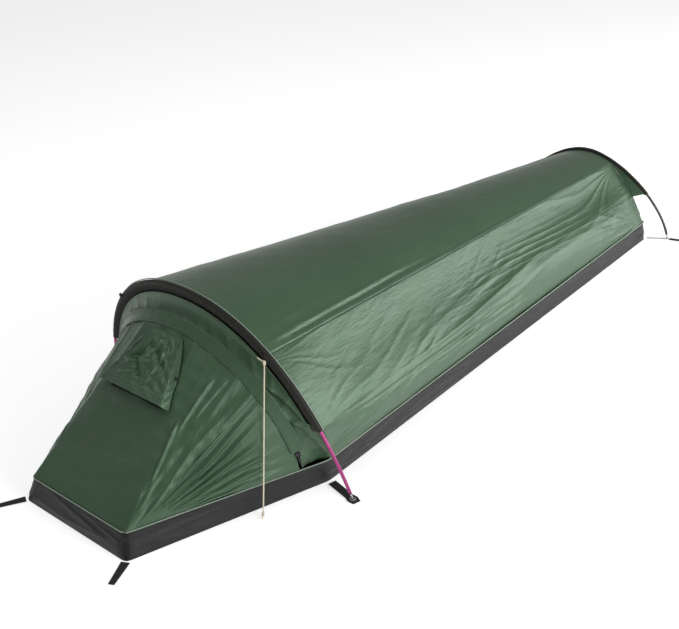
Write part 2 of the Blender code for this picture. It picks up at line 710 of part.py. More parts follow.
piping_line = share_curve(front_hoop, front_sleeve_share, 1 - front_sleeve_share, 61)
outward_way = piping_line - sleeve_middle
outward_way -= front_forward * (outward_way @ front_forward)[:, None]
outward_way /= np.linalg.norm(outward_way, axis=1, keepdims=True)
piping_line = piping_line + outward_way * (sleeve_radius * 0.80 + 0.0016)
piping_line = piping_line - front_forward * (sleeve_radius * 0.72 + 0.0012)
sweep("sleeve_piping", piping_line, circle(0.0013, 6), -front_forward, "piping_grey")


def pole(prefix, curve, forward, sections, look):
    """Tube sections end to end along the hoop, a ferrule inside each meeting, a tip at each foot, a cord inside."""
    steps = np.linalg.norm(np.diff(curve, axis=0), axis=1).sum()
    tip_share = tip_length / steps
    gap_share = joint_gap / steps
    edges = np.linspace(tip_share, 1 - tip_share, sections + 1)
    for k in range(sections):
        low = edges[k] + gap_share / 2
        high = edges[k + 1] - gap_share / 2
        sweep("%s_section_%d" % (prefix, k + 1), share_curve(curve, low, high, 17), circle(pole_radius, 10),
              -forward, look, hole=circle(pole_bore, 10))
    for k in range(1, sections):
        reach = 0.032 / steps
        sweep("%s_ferrule_%d" % (prefix, k), share_curve(curve, edges[k] - reach, edges[k] + reach, 7),
              circle(ferrule_radius, 8), -forward, "bare_alloy", hole=circle(ferrule_bore, 8))
    tip_end = tip_share - gap_share / 2
    for side_name, ends in (("left", (0.0, tip_end)), ("right", (1 - tip_end, 1.0))):
        sweep("%s_tip_%s" % (prefix, side_name), share_curve(curve, ends[0], ends[1], 4),
              circle(tip_radius, 10), -forward, "bare_alloy")
    sweep("%s_shock_cord" % prefix, share_curve(curve, tip_share + gap_share, 1 - tip_share - gap_share, 45),
          circle(shock_cord_radius, 6), -forward, "elastic_white")


def lifted(curve, bottom):
    """The same hoop with its feet cut at the height where the tips stand."""
    raised = np.array(curve)
    raised[:, 2] = bottom + raised[:, 2] * (curve[:, 2].max() - bottom) / curve[:, 2].max()
    return raised


pole("front_pole", lifted(front_hoop, 0.0012), front_forward, 4, "purple_tube")
pole("rear_pole", lifted(rear_hoop, 0.0012), rear_forward, 3, "grey_tube")

# ---- straps, rings and loops ------------------------------------------------

def ring(name, centre, inner, outer, height, look, sides=20):
    points = []
    for radius, z in ((outer, 0.0), (outer, height), (inner, height), (inner, 0.0)):
        for x, y in circle(radius, sides):
            points.append((centre[0] + x, centre[1] + y, centre[2] + z))
    faces = []
    for k in range(4):
        for c in range(sides):
            d = (c + 1) % sides
            m = (k + 1) % 4
            faces.append((k * sides + c, k * sides + d, m * sides + d, m * sides + c))
    return node_from(name, np.array(points), faces, look)


def strap(name, start, end, width_start, width_end, thickness, look, eye=None, lift=0.0004):
    """A flat band on the ground from start to end; eye is a hole (distance back from the end, radius)."""
    start = np.array([start[0], start[1]], float)
    end = np.array([end[0], end[1]], float)
    way = (end - start) / np.linalg.norm(end - start)
    across = np.array([-way[1], way[0]])
    outline = [start - across * width_start / 2, end - across * width_end / 2,
               end + across * width_end / 2, start + across * width_start / 2]
    top = [(*p, lift + thickness) for p in outline]
    bottom = [(*p, lift) for p in outline]
    made = node_from(name, np.array(bottom + top),
                     [(3, 2, 1, 0), (4, 5, 6, 7), (0, 1, 5, 4), (1, 2, 6, 5), (2, 3, 7, 6), (3, 0, 4, 7)],
                     look, smooth=False)
    if eye is not None:
        centre = placed(np.array([*(end - way * eye[0]), 0.0]))
        bpy.ops.mesh.primitive_cylinder_add(vertices=20, radius=eye[1], depth=0.04, location=tuple(centre))
        cutter = bpy.context.object
        cutter.name = name + "_cutter"
        cutter.hide_render = True
        cutter.display_type = "WIRE"
        cut = made.modifiers.new("eye", "BOOLEAN")
        cut.operation = "DIFFERENCE"
        cut.solver = "EXACT"
        cut.object = cutter
    return made


for side, side_name in ((1, "right"), (-1, "left")):
    corner = (front_half_width * side, -0.0006)
    tip = (corner[0] + front_loop_splay * side, -front_loop_reach)
    strap("front_peg_loop_" + side_name, (corner[0] + 0.001 * side, -0.0012), tip, webbing_width, 0.015, webbing,
          "webbing_black", eye=(0.010, 0.0040))
    foot = (front_hoop_half_span * side, front_hoop_depth)
    root = ((shoulder_half_width + 0.0008) * side, shoulder_depth)
    way = np.array([foot[0] - root[0], foot[1] - root[1]])
    way /= np.linalg.norm(way)
    far = np.array(foot) + way * 0.018
    strap("pole_strap_" + side_name, np.array(root) + way * 0.010, far, webbing_width, webbing_width, webbing,
          "webbing_black", eye=(0.018, ring_outer + 0.0004))
    ring("strap_grommet_" + side_name, (foot[0], foot[1], 0.0004), ring_inner, ring_outer, 0.0022, "bare_alloy")
    rear_foot = (rear_hoop_half_span * side, floor_length + rear_hoop_overhang)
    ring("rear_ring_" + side_name, (rear_foot[0], rear_foot[1], 0.0004), ring_inner, ring_outer, 0.0024,
         "bare_alloy")
    rear_root = np.array([(foot_half_width + 0.002) * side, floor_length + 0.002])
    rear_way = np.array(rear_foot) - rear_root
    rear_way /= np.linalg.norm(rear_way)
    line_start = np.array([*(rear_root + rear_way * 0.003), 0.0022])
    line_end = np.array([*(np.array(rear_foot) - rear_way * (ring_outer + 0.0006)), 0.0022])
    sweep("rear_stay_" + side_name, np.linspace(line_start, line_end, 5), circle(0.0013, 8), (0.0, 0.0, 1.0),
          "webbing_black")
    loop_way = np.array([1.0 * side, 0.30])
    loop_way /= np.linalg.norm(loop_way)
    loop_start = np.array(rear_foot) + loop_way * (ring_outer + 0.0004)
    loop_end = loop_start + loop_way * rear_loop_reach
    strap("rear_peg_loop_" + side_name, loop_start, loop_end, 0.014, 0.014, webbing, "webbing_black",
          eye=(0.010, 0.0040))
    tab_point = resampled(front_hoop, np.array([1 - front_seam_share]))[0] * np.array([side, 1.0, 1.0])
    tab_out = np.array([tab_point[0], 0.0, tab_point[2]])
    tab_out /= np.linalg.norm(tab_out)
    tab_along = np.cross(tab_out, front_forward)
    block("guy_tab_" + side_name, tab_point + front_forward * (sleeve_radius + 0.0035) + tab_out * 0.004,
          (tab_along, front_forward, tab_out), (0.012, 0.0050, 0.014), "webbing_black")

# ---- guy line ----------------------------------------------------------------

guy_top = resampled(front_hoop, np.array([1 - front_seam_share]))[0]
guy_top = guy_top + front_forward * (sleeve_radius + 0.0085) + np.array([0.002, 0.0, -0.012])
guy_low = np.array([guy_foot[0], guy_foot[1], guy_radius + 0.0006])
guy_line = bpy.data.curves.new("guy_line", "CURVE")
guy_line.dimensions = "3D"
guy_line.bevel_depth = guy_radius
guy_line.bevel_resolution = 2
guy_line.use_fill_caps = True
spline = guy_line.splines.new("POLY")
guy_points = placed(np.linspace(guy_top, guy_low, 60))
spline.points.add(len(guy_points) - 1)
for point, place in zip(spline.points, guy_points):
    point.co = (*place, 1.0)
guy_line.materials.append(materials["guy_cream"])
guy_object = bpy.data.objects.new("guy_line", guy_line)
bpy.context.collection.objects.link(guy_object)
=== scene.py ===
import math

import bmesh
import bpy
import numpy as np
from mathutils import Matrix, Vector


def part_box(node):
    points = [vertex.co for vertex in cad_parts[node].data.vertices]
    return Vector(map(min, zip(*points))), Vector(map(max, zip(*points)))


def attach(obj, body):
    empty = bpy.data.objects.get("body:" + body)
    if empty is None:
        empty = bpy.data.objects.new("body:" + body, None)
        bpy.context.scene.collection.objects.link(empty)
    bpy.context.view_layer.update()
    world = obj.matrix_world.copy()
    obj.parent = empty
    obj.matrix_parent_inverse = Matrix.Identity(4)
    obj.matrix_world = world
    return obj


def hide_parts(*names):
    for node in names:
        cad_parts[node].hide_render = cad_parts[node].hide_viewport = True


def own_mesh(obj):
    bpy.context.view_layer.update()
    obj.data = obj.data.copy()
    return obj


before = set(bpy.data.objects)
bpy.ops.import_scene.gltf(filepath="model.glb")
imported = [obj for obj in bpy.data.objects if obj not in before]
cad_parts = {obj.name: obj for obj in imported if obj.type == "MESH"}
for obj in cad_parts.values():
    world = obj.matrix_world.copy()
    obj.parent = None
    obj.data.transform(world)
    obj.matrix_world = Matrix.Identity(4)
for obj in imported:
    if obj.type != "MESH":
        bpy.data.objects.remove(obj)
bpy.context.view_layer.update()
scene = bpy.context.scene
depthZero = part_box("tub_floor")[0][1]  # the front floor edge; depths below are counted back from it

# camera: where it stands, the way it looks and its lens
cameraSet = {"place": (2.1212, depthZero - 1.2501, 1.7799), "turn": 44.058, "down": 27.79, "roll": -3.475,
             "lens": 65.885}


# The camera's ahead and up from its turn and its tip down, then both rolled about the way it looks.
def addCamera(s):
    turn, down, roll = (math.radians(s[k]) for k in ("turn", "down", "roll"))
    ahead = Vector((-math.sin(turn) * math.cos(down), math.cos(turn) * math.cos(down), -math.sin(down)))
    right = Vector((math.cos(turn), math.sin(turn), 0.0))
    up = right.cross(ahead)
    tiltedRight = right * math.cos(roll) + up * math.sin(roll)
    tiltedUp = up * math.cos(roll) - right * math.sin(roll)
    data = bpy.data.cameras.new("camera")
    data.lens = s["lens"]
    data.sensor_width = 36.0
    data.clip_end = 60.0
    camera = bpy.data.objects.new("camera", data)
    camera.matrix_world = Matrix((
        (tiltedRight.x, tiltedUp.x, -ahead.x, s["place"][0]),
        (tiltedRight.y, tiltedUp.y, -ahead.y, s["place"][1]),
        (tiltedRight.z, tiltedUp.z, -ahead.z, s["place"][2]),
        (0.0, 0.0, 0.0, 1.0)))
    scene.collection.objects.link(camera)
    scene.camera = camera


addCamera(cameraSet)
print("camera set")


# A socket in a node tree that can be added, multiplied and so on.
class Wire:

    def __init__(self, tree, socket):
        self.tree = tree
        self.socket = socket

    def sum(self, kind, other, swap=False):
        pair = [other, self] if swap else [self, other]
        return self.tree.node("ShaderNodeMath", {"operation": kind}, pair)["Value"]

    def __add__(self, other):
        return self.sum("ADD", other)

    __radd__ = __add__

    def __sub__(self, other):
        return self.sum("SUBTRACT", other)

    def __rsub__(self, other):
        return self.sum("SUBTRACT", other, True)

    def __mul__(self, other):
        return self.sum("MULTIPLY", other)

    __rmul__ = __mul__

    def __truediv__(self, other):
        return self.sum("DIVIDE", other)

    def __pow__(self, other):
        return self.sum("POWER", other)

    def most(self, other):
        return self.sum("MAXIMUM", other)

    def size(self):
        return self.tree.node("ShaderNodeMath", {"operation": "ABSOLUTE"}, [self])["Value"]

    def sine(self):
        return self.tree.node("ShaderNodeMath", {"operation": "SINE"}, [self])["Value"]


# A material's nodes; node() makes any node from its settings and the values or links of its sockets.
class Tree:

    def __init__(self, name):
        self.material = bpy.data.materials.new(name)
        self.material.use_nodes = True
        self.nodes = self.material.node_tree.nodes
        self.links = self.material.node_tree.links
        self.shader = self.nodes["Principled BSDF"]

    def put(self, socket, value):
        if isinstance(value, Wire):
            self.links.new(value.socket, socket)
        elif isinstance(value, (tuple, list)) and len(value) == 3 and socket.type == "RGBA":
            socket.default_value = (*value, 1.0)
        else:
            socket.default_value = value

    def node(self, kind, settings, values):
        made = self.nodes.new(kind)
        for key, value in settings.items():
            if key == "stops":
                ramp = made.color_ramp
                while len(ramp.elements) < len(value):
                    ramp.elements.new(0.5)
                for element, (place, colour) in zip(ramp.elements, value):
                    element.position = place
                    element.color = (*colour, 1.0) if len(colour) == 3 else colour
            else:
                setattr(made, key, value)
        pairs = values.items() if isinstance(values, dict) else enumerate(values)
        for key, value in pairs:
            self.put(made.inputs[key], value)
        return {o.name: Wire(self, o) for o in made.outputs if o.enabled}

    def place(self):
        return self.node("ShaderNodeTexCoord", {}, {})["Object"]

    def flat(self):
        return self.node("ShaderNodeUVMap", {"uv_map": "flat"}, {})["UV"]

    def stretched(self, vector, scale):
        return self.node("ShaderNodeMapping", {}, {"Vector": vector, "Scale": scale})["Vector"]

    def noise(self, vector, scale, detail=3.0, rough=0.5):
        return self.node("ShaderNodeTexNoise", {}, {"Vector": vector, "Scale": scale, "Detail": detail,
                                                     "Roughness": rough})["Fac"]

    def ramp(self, value, *stops):
        return self.node("ShaderNodeValToRGB", {"stops": stops}, {"Fac": value})["Color"]

    def mixed(self, share, first, second):
        out = self.nodes.new("ShaderNodeMix")
        out.data_type = "RGBA"
        self.put(out.inputs["Factor"], share)
        self.put(out.inputs[6], first)
        self.put(out.inputs[7], second)
        return Wire(self, out.outputs[2])

    def bump(self, height, distance):
        return self.node("ShaderNodeBump", {}, {"Height": height, "Distance": distance, "Strength": 1.0})["Normal"]

    def finish(self, **values):
        for key, value in values.items():
            self.put(self.shader.inputs[key.replace("_", " ")], value)
        return self.material


# Coated cloth: two close shades in slow patches, fine square weave, small crumples.
def clothMaterial(name, s):
    t = Tree(name)
    flat, place = t.flat(), t.place()
    patches = t.noise(place, s["patch"], 4.0, 0.6)
    fine = t.noise(place, 900.0, 2.0, 0.6)
    body = t.mixed(t.ramp(patches, (0.3, (0.0, 0.0, 0.0)), (0.7, (1.0, 1.0, 1.0))), s["dark"], s["light"])
    parts = t.node("ShaderNodeSeparateXYZ", {}, [flat])
    across, along = parts["X"], parts["Y"]
    weave = (across * (6.2832 / s["thread"])).sine() * (along * (6.2832 / s["thread"])).sine()
    ribOver, ribAlong = ((way * (3.14159 / s["grid"])).sine().size() ** 40.0 for way in (across, along))
    ribs = ribOver.most(ribAlong)
    colour = t.mixed(ribs * 0.16, body, s["rib"])
    colour = t.mixed(fine * 0.10, colour, (0.0, 0.0, 0.0))
    crumple = t.noise(t.stretched(flat, s["stretch"]), 1.0, 5.0, 0.62)
    crumple = (crumple - 0.5).size() * -2.0 + 1.0
    height = crumple * s["crumple"] + weave * 0.00002 + ribs * 0.00006
    return t.finish(Base_Color=colour, Roughness=s["rough"] + (patches - 0.5) * 0.10, Normal=t.bump(height, 1.0),
                    Specular_IOR_Level=s["shine"], Specular_Tint=s["shineTint"], Sheen_Weight=s["sheen"],
                    Sheen_Roughness=0.45, Sheen_Tint=s["sheenTint"])


greenCloth = {
    "dark": (0.030, 0.062, 0.030), "light": (0.039, 0.078, 0.039), "rib": (0.024, 0.048, 0.024), "patch": 3.0,
    "thread": 0.0009, "grid": 0.006, "stretch": (34.0, 7.0, 1.0), "crumple": 0.0016, "rough": 0.38, "shine": 0.66,
    "shineTint": (0.74, 1.0, 0.78, 1.0), "sheen": 0.05, "sheenTint": (0.75, 0.9, 0.75, 1.0)}
blackCloth = {
    "dark": (0.007, 0.0075, 0.007), "light": (0.013, 0.0135, 0.013), "rib": (0.005, 0.005, 0.005), "patch": 6.0,
    "thread": 0.0011, "grid": 0.008, "stretch": (10.0, 30.0, 1.0), "crumple": 0.0018, "rough": 0.46, "shine": 0.30,
    "shineTint": (1.0, 1.0, 1.0, 1.0), "sheen": 0.04, "sheenTint": (0.9, 0.9, 0.9, 1.0)}
sleeveCloth = {
    **blackCloth, "dark": (0.008, 0.008, 0.007), "light": (0.015, 0.014, 0.012), "rib": (0.006, 0.006, 0.005),
    "patch": 14.0, "grid": 0.010, "stretch": (40.0, 60.0, 1.0), "crumple": 0.0010, "rough": 0.62, "shine": 0.25,
    "sheen": 0.10, "sheenTint": (0.8, 0.8, 0.75, 1.0)}


# Narrow woven tape: chevron ribs across the tape and fuzzy edges.
def webbingMaterial():
    t = Tree("wovenTape")
    parts = t.node("ShaderNodeSeparateXYZ", {}, [t.flat()])
    across, along = parts["X"], parts["Y"]
    zigzag = (along * 2600.0 + (across * 1400.0).sine() * 1.4).sine()
    rows = (across * 3600.0).sine()
    grey = t.noise(t.place(), 300.0, 3.0)
    colour = t.mixed(grey, (0.010, 0.010, 0.010), (0.030, 0.030, 0.029))
    return t.finish(Base_Color=colour, Roughness=0.78 - zigzag * 0.05, Specular_IOR_Level=0.3,
                    Normal=t.bump(zigzag * 0.00010 + rows * 0.00006, 1.0))


# Anodised tube: even metal with faint drawn lines along it and small scuffs.
def tubeMaterial(name, colour, scratch):
    t = Tree(name)
    place = t.place()
    lines = t.noise(t.stretched(place, (400.0, 400.0, 12.0)), 1.0, 3.0)
    scuffs = t.ramp(t.noise(place, 160.0, 5.0, 0.7), (0.60, (0.0, 0.0, 0.0)), (0.74, (1.0, 1.0, 1.0)))
    tone = t.mixed(scuffs * 0.35, colour, scratch)
    return t.finish(Base_Color=tone, Metallic=0.85, Roughness=0.28 + lines * 0.12 + t.noise(place, 60.0) * 0.06,
                    Normal=t.bump(lines, 0.00004))


# Two close tones in a noise pattern over a fine grain.
def plainMaterial(name, first, second, scale, rough, metal=0.0, grain=0.00005, grainScale=700.0):
    t = Tree(name)
    place = t.place()
    share = t.noise(place, scale, 4.0)
    return t.finish(Base_Color=t.mixed(share, first, second), Roughness=rough + (share - 0.5) * 0.12, Metallic=metal,
                    Normal=t.bump(t.noise(place, grainScale, 2.0), grain))


# Braided cord: two crossed spirals of strands along the cord's own flat map.
def cordMaterial():
    t = Tree("braidedCord")
    parts = t.node("ShaderNodeSeparateXYZ", {}, [t.flat()])
    around, along = parts["X"], parts["Y"]
    first = (along * 1500.0 + around * 12.566).sine()
    second = (along * 1500.0 - around * 12.566).sine()
    strands = first.most(second)
    colour = t.mixed(strands * 0.5 + 0.5, (0.34, 0.30, 0.21), (0.76, 0.70, 0.54))
    return t.finish(Base_Color=colour, Roughness=0.8, Specular_IOR_Level=0.25, Normal=t.bump(strands, 0.00025))


# Insect net: dark crossed threads, raised in the bump.
def netMaterial():
    t = Tree("insectNet")
    parts = t.node("ShaderNodeSeparateXYZ", {}, [t.flat()])
    threads = (parts["X"] * 1800.0).sine().size().most((parts["Y"] * 1800.0).sine().size())
    grey = t.noise(t.place(), 40.0)
    return t.finish(Base_Color=t.mixed(grey, (0.010, 0.013, 0.010), (0.022, 0.028, 0.022)), Roughness=0.8,
                    Normal=t.bump(threads, 0.0003))


mats = {
    "green": clothMaterial("greenCloth", greenCloth),
    "black": clothMaterial("blackFloorCloth", blackCloth),
    "sleeve": clothMaterial("sleeveCloth", sleeveCloth),
    "tape": webbingMaterial(),
    "magenta": tubeMaterial("magentaTube", (0.30, 0.045, 0.16), (0.55, 0.40, 0.50)),
    "grey": tubeMaterial("darkTube", (0.055, 0.055, 0.058), (0.30, 0.30, 0.31)),
    "alloy": tubeMaterial("plainAlloy", (0.50, 0.50, 0.51), (0.75, 0.75, 0.76)),
    "piping": plainMaterial("paleCordPiping", (0.15, 0.20, 0.15), (0.27, 0.33, 0.27), 90.0, 0.6),
    "thread": plainMaterial("greenThread", (0.060, 0.095, 0.060), (0.11, 0.16, 0.11), 300.0, 0.7),
    "darkThread": plainMaterial("blackThread", (0.012, 0.012, 0.012), (0.03, 0.03, 0.03), 300.0, 0.7),
    "coil": plainMaterial("nylonCoil", (0.010, 0.012, 0.010), (0.022, 0.024, 0.022), 200.0, 0.42),
    "elastic": plainMaterial("shockElastic", (0.50, 0.50, 0.48), (0.66, 0.66, 0.63), 400.0, 0.8),
    "cord": cordMaterial(),
    "net": netMaterial(),
}
print("materials made")

# the object's own sizes, in metres; depths are counted back from the front floor edge
size = {
    "length": 2.20, "frontHalf": 0.1925, "shoulderHalf": 0.342, "footHalf": 0.2335, "shoulderDepth": 0.518,
    "tubHeight": 0.062, "frontLean": 0.020, "sideLean": 0.016, "clothBase": 0.0618, "foldTo": 0.0655,
    "poleRadius": 0.00425, "sleeveRadius": 0.00635, "frontSeam": 0.296, "rearSeam": 0.386,
}
frontHoopSet = {"span": 0.438, "height": 0.470, "foot": (0.052, 0.2716), "crown": 0.2444, "depth": 0.496,
                "lean": 0.0906, "sleeveEnd": 0.190}
rearHoopSet = {"span": 0.294, "height": 0.2666, "foot": (0.010, 0.1326), "crown": 0.1141, "depth": 2.2386,
               "lean": 0.0386, "sleeveEnd": 0.150}
archSet = {"radius": 0.322, "depth": 0.4445, "height": 0.0823, "lean": 13.9, "tilt": 40.0, "low": 4.0,
           "foot": (0.320, 0.446, 0.066)}


# Points with their depth counted from the front floor edge, moved to where the frame has that edge.
def placed(points):
    return np.asarray(points, float) + np.array([0.0, depthZero, 0.0])


# Each vector divided by its length.
def unit(vectors):
    return vectors / np.maximum(np.linalg.norm(vectors, axis=-1, keepdims=True), 1e-9)


# How far along a path each of its points lies.
def reachOf(path):
    return np.concatenate([[0.0], np.cumsum(np.linalg.norm(np.diff(path, axis=0), axis=1))])


# Points at these shares of a polyline's length.
def resampled(path, shares):
    reach = reachOf(path)
    return np.stack([np.interp(np.asarray(shares) * reach[-1], reach, path[:, k]) for k in range(3)], 1)


# A bent pole, left foot to right foot: one cubic curve per half, level at the crown.
def hoopCurve(s):
    t = np.linspace(0, 1, 201)[:, None]
    corners = np.array([[s["span"], 0.0], [s["span"] - s["foot"][0], s["foot"][1]], [s["crown"], s["height"]],
                        [0.0, s["height"]]])
    half = ((1 - t) ** 3 * corners[0] + 3 * (1 - t) ** 2 * t * corners[1] + 3 * (1 - t) * t ** 2 * corners[2]
            + t ** 3 * corners[3])
    right = np.stack([half[:, 0], s["depth"] - s["lean"] * half[:, 1] / s["height"], half[:, 1]], 1)
    return resampled(np.concatenate([right * (-1, 1, 1), right[::-1][1:]]), np.linspace(0, 1, 401))


frontHoop, rearHoop = hoopCurve(frontHoopSet), hoopCurve(rearHoopSet)
frontAhead = unit(np.array([0.0, -frontHoopSet["height"], -frontHoopSet["lean"]]))
rearAhead = unit(np.array([0.0, -rearHoopSet["height"], -rearHoopSet["lean"]]))
frontEnd = np.argmax(frontHoop[:, 2] >= frontHoopSet["sleeveEnd"]) / 400
rearEnd = np.argmax(rearHoop[:, 2] >= rearHoopSet["sleeveEnd"]) / 400
archLean, archTilt = math.radians(archSet["lean"]), math.radians(archSet["tilt"])
archAhead = np.array([0.0, -math.cos(archLean), -math.sin(archLean)])
archUp = np.array([0.0, -math.sin(archLean), math.cos(archLean)])
archHeart = np.array([0.0, archSet["depth"], archSet["height"]])


# Points of the zip arch at angles from the right, with the ways across the zip and out of it.
def archFrame(angles):
    a = np.asarray(angles, float)[..., None]
    outward = np.array([1.0, 0.0, 0.0]) * np.cos(a) + archUp * np.sin(a)
    across = outward * math.sin(archTilt) - archAhead * math.cos(archTilt)
    out = outward * math.cos(archTilt) + archAhead * math.sin(archTilt)
    return archHeart + outward * archSet["radius"], across, out


# The edge of the cloth along the zip, left foot to right foot, moved across the zip.
def clothArch(acrossBy):
    low = math.radians(archSet["low"])
    point, across, _ = archFrame(np.linspace(math.pi - low, low, 161))
    arc = point + across * acrossBy
    foot = np.array(archSet["foot"]) + (0.0, acrossBy, 0.0)
    steps = np.linspace(0, 1, 9)[:-1, None]
    left = foot * (-1, 1, 1)
    return np.concatenate([left + (arc[0] - left) * steps, arc, foot + (arc[-1] - foot) * steps[::-1]])


# Slow wandering between -1 and 1: four sine waves in fixed directions.
def drift(a, b, seed, scale):
    turn = np.random.default_rng(seed)
    total = 0.0
    for _ in range(4):
        angle, phase, pace = turn.uniform(0, 6.283), turn.uniform(0, 6.283), turn.uniform(0.6, 1.7)
        total = total + np.sin((a * np.cos(angle) + b * np.sin(angle)) * pace * 6.283 / scale + phase)
    return total / 2.6


# Folds with narrow crests: one minus the size of a sine, raised to a power.
def crest(x, sharp):
    return (1 - np.abs(np.sin(x * 0.5))) ** sharp


# Folds that spread from one point: crests at even angles, tall near the point and fading with distance.
def fan(a, b, s):
    da, db = a - s["at"][0], b - s["at"][1]
    reach = np.hypot(da, db) + 1e-6
    angle = np.arctan2(db, da) + drift(a, b, s["seed"], s["reach"] * 1.4) * 0.05
    off = (np.mod(angle - s["aim"] + np.pi, 2 * np.pi) - np.pi) / s["spread"]
    fade = np.exp(-(reach / s["reach"]) ** 2) * np.minimum(reach / s["start"], 1.0) * np.exp(-off ** 2)
    uneven = 0.65 + 0.35 * drift(angle * 2.0, reach * 0.4, s["seed"] + 7, 0.7)
    return s["tall"] * fade * uneven * (crest(angle * s["count"], s["sharp"]) - 0.35)


# Long folds side by side: crests across one direction, wandering, and fading outside a soft patch.
def folds(a, b, s):
    way = math.radians(s["turn"])
    along = (a - s["at"][0]) * math.cos(way) + (b - s["at"][1]) * math.sin(way)
    side = -(a - s["at"][0]) * math.sin(way) + (b - s["at"][1]) * math.cos(way)
    wander = side + drift(along * 0.12, side * 0.6, s["seed"], s["gap"] * 6.0) * s["gap"] * s.get("wander", 0.5)
    fade = np.exp(-(along / s["long"]) ** 2 - (side / s["wide"]) ** 2)
    patchy = np.clip(0.55 + 0.6 * drift(along * 0.5, side * 1.5, s["seed"] + 3, s["long"] * 0.8), 0.0, 1.3)
    return s["tall"] * fade * patchy * (crest(wander * 3.1416 / s["gap"] * 2.0, s["sharp"]) - 0.35)


# Lengths along a grid's lines in metres, as two arrays of the grid's shape, counted from its middle.
def flatSize(grid):
    steps = np.linalg.norm(np.diff(grid, axis=1), axis=2)
    across = np.concatenate([np.zeros_like(grid[:, :1, 0]), np.cumsum(steps, 1)], 1)
    across = across - across[:, across.shape[1] // 2][:, None]
    along = reachOf(grid[:, grid.shape[1] // 2])
    return np.broadcast_to(along[:, None], across.shape), across


# Normals of a grid: the cross product of its two slopes, turned away from a point inside.
def gridNormals(grid, outwards):
    normal = unit(np.cross(np.gradient(grid, axis=0), np.gradient(grid, axis=1)))
    facing = (normal * (grid - np.asarray(outwards))).sum(-1).mean()
    return normal if facing > 0 else -normal


# A mesh from points and faces of one corner count, with a flat map in metres, riding on a body.
def meshPiece(name, points, faces, material, flat=None, body=None, slot=None, replaced=()):
    mesh = bpy.data.meshes.new(name)
    mesh.vertices.add(len(points))
    mesh.vertices.foreach_set("co", placed(points).astype(np.float32).ravel())
    mesh.loops.add(faces.size)
    mesh.loops.foreach_set("vertex_index", faces.astype(np.int32).ravel())
    mesh.polygons.add(len(faces))
    mesh.polygons.foreach_set("loop_start", np.arange(0, faces.size, faces.shape[1], dtype=np.int32))
    if flat is not None:
        layer = mesh.uv_layers.new(name="flat")
        layer.uv.foreach_set("vector", flat[faces.ravel()].astype(np.float32).ravel())
    mesh.update(calc_edges=True)
    work = bmesh.new()
    work.from_mesh(mesh)
    bmesh.ops.recalc_face_normals(work, faces=work.faces)
    work.to_mesh(mesh)
    work.free()
    mesh.shade_smooth()
    mesh.materials.append(material)
    made = bpy.data.objects.new(name, mesh)
    scene.collection.objects.link(made)
    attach(made, body)
    if replaced:
        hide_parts(*replaced)
    return made


# Faces of a grid of rows and columns; a wrapped one joins its last column to its first.
def quads(rows, columns, start=0, wrap=False):
    r, c = np.meshgrid(np.arange(rows - 1), np.arange(columns if wrap else columns - 1), indexing="ij")
    a, b = start + r * columns + c, start + r * columns + (c + 1) % columns
    return np.stack([a, b, b + columns, a + columns], -1).reshape(-1, 4)


# Fans that close a tube's two ends, to two middle points that follow its last point.
def endFans(rows, sides):
    c = np.arange(sides)
    d, last, total = (c + 1) % sides, (rows - 1) * sides, rows * sides
    return np.concatenate([np.stack([d, c, np.full(sides, total)], -1),
                           np.stack([last + c, last + d, np.full(sides, total + 1)], -1)])


# Faces of a tube's wall outside and inside, and of its two ring-shaped ends.
def boredFaces(rows, sides):
    c = np.arange(sides)
    d, last, total = (c + 1) % sides, (rows - 1) * sides, rows * sides
    return np.concatenate([quads(rows, sides, 0, True), quads(rows, sides, total, True),
                           np.stack([c, total + c, total + d, d], -1),
                           np.stack([last + c, last + d, last + total + d, last + total + c], -1)])


# Faces of a ring that closes both round itself and round its section.
def ringFaces(rows, sides):
    r, k = np.meshgrid(np.arange(rows) * sides, np.arange(sides), indexing="ij")
    ahead, over = (r + sides) % (rows * sides), (k + 1) % sides
    return np.stack([r + k, r + over, ahead + over, ahead + k], -1).reshape(-1, 4)


# A closed sheet: the grid is its outer face, a second layer lies a thickness under it, and every open edge
# of the outer face, round a hole too, gets a face that joins the two.
def clothPiece(name, grid, thick, outwards, material, hole=None, **rest):
    rows, columns = grid.shape[:2]
    normal = gridNormals(grid, outwards)
    points = np.concatenate([grid.reshape(-1, 3), (grid - normal * thick).reshape(-1, 3)])
    along, across = flatSize(grid)
    flat = np.tile(np.stack([across.ravel(), along.ravel()], 1), (2, 1))
    count = rows * columns
    top = quads(rows, columns)
    if hole is not None:
        top = top[~hole.ravel()]
    starts, ends = top.ravel(), np.roll(top, -1, 1).ravel()
    edge = ~np.isin(starts * count + ends, ends * count + starts)
    starts, ends = starts[edge], ends[edge]
    rim = np.stack([ends, starts, starts + count, ends + count], -1)
    used = np.unique(top)
    renumber = np.full(2 * count, -1)
    renumber[np.concatenate([used, used + count])] = np.arange(2 * len(used))
    faces = renumber[np.concatenate([top, top[:, ::-1] + count, rim])]
    kept = renumber >= 0
    return meshPiece(name, points[kept], faces, material, flat[kept], **rest)


# The ways up and sideways at each point of a path, square to it.
def sidesOf(path, up):
    tangent = unit(np.gradient(path, axis=0))
    lift = unit(np.asarray(up, float) - tangent * (tangent @ np.asarray(up, float))[:, None])
    return lift, np.cross(tangent, lift)


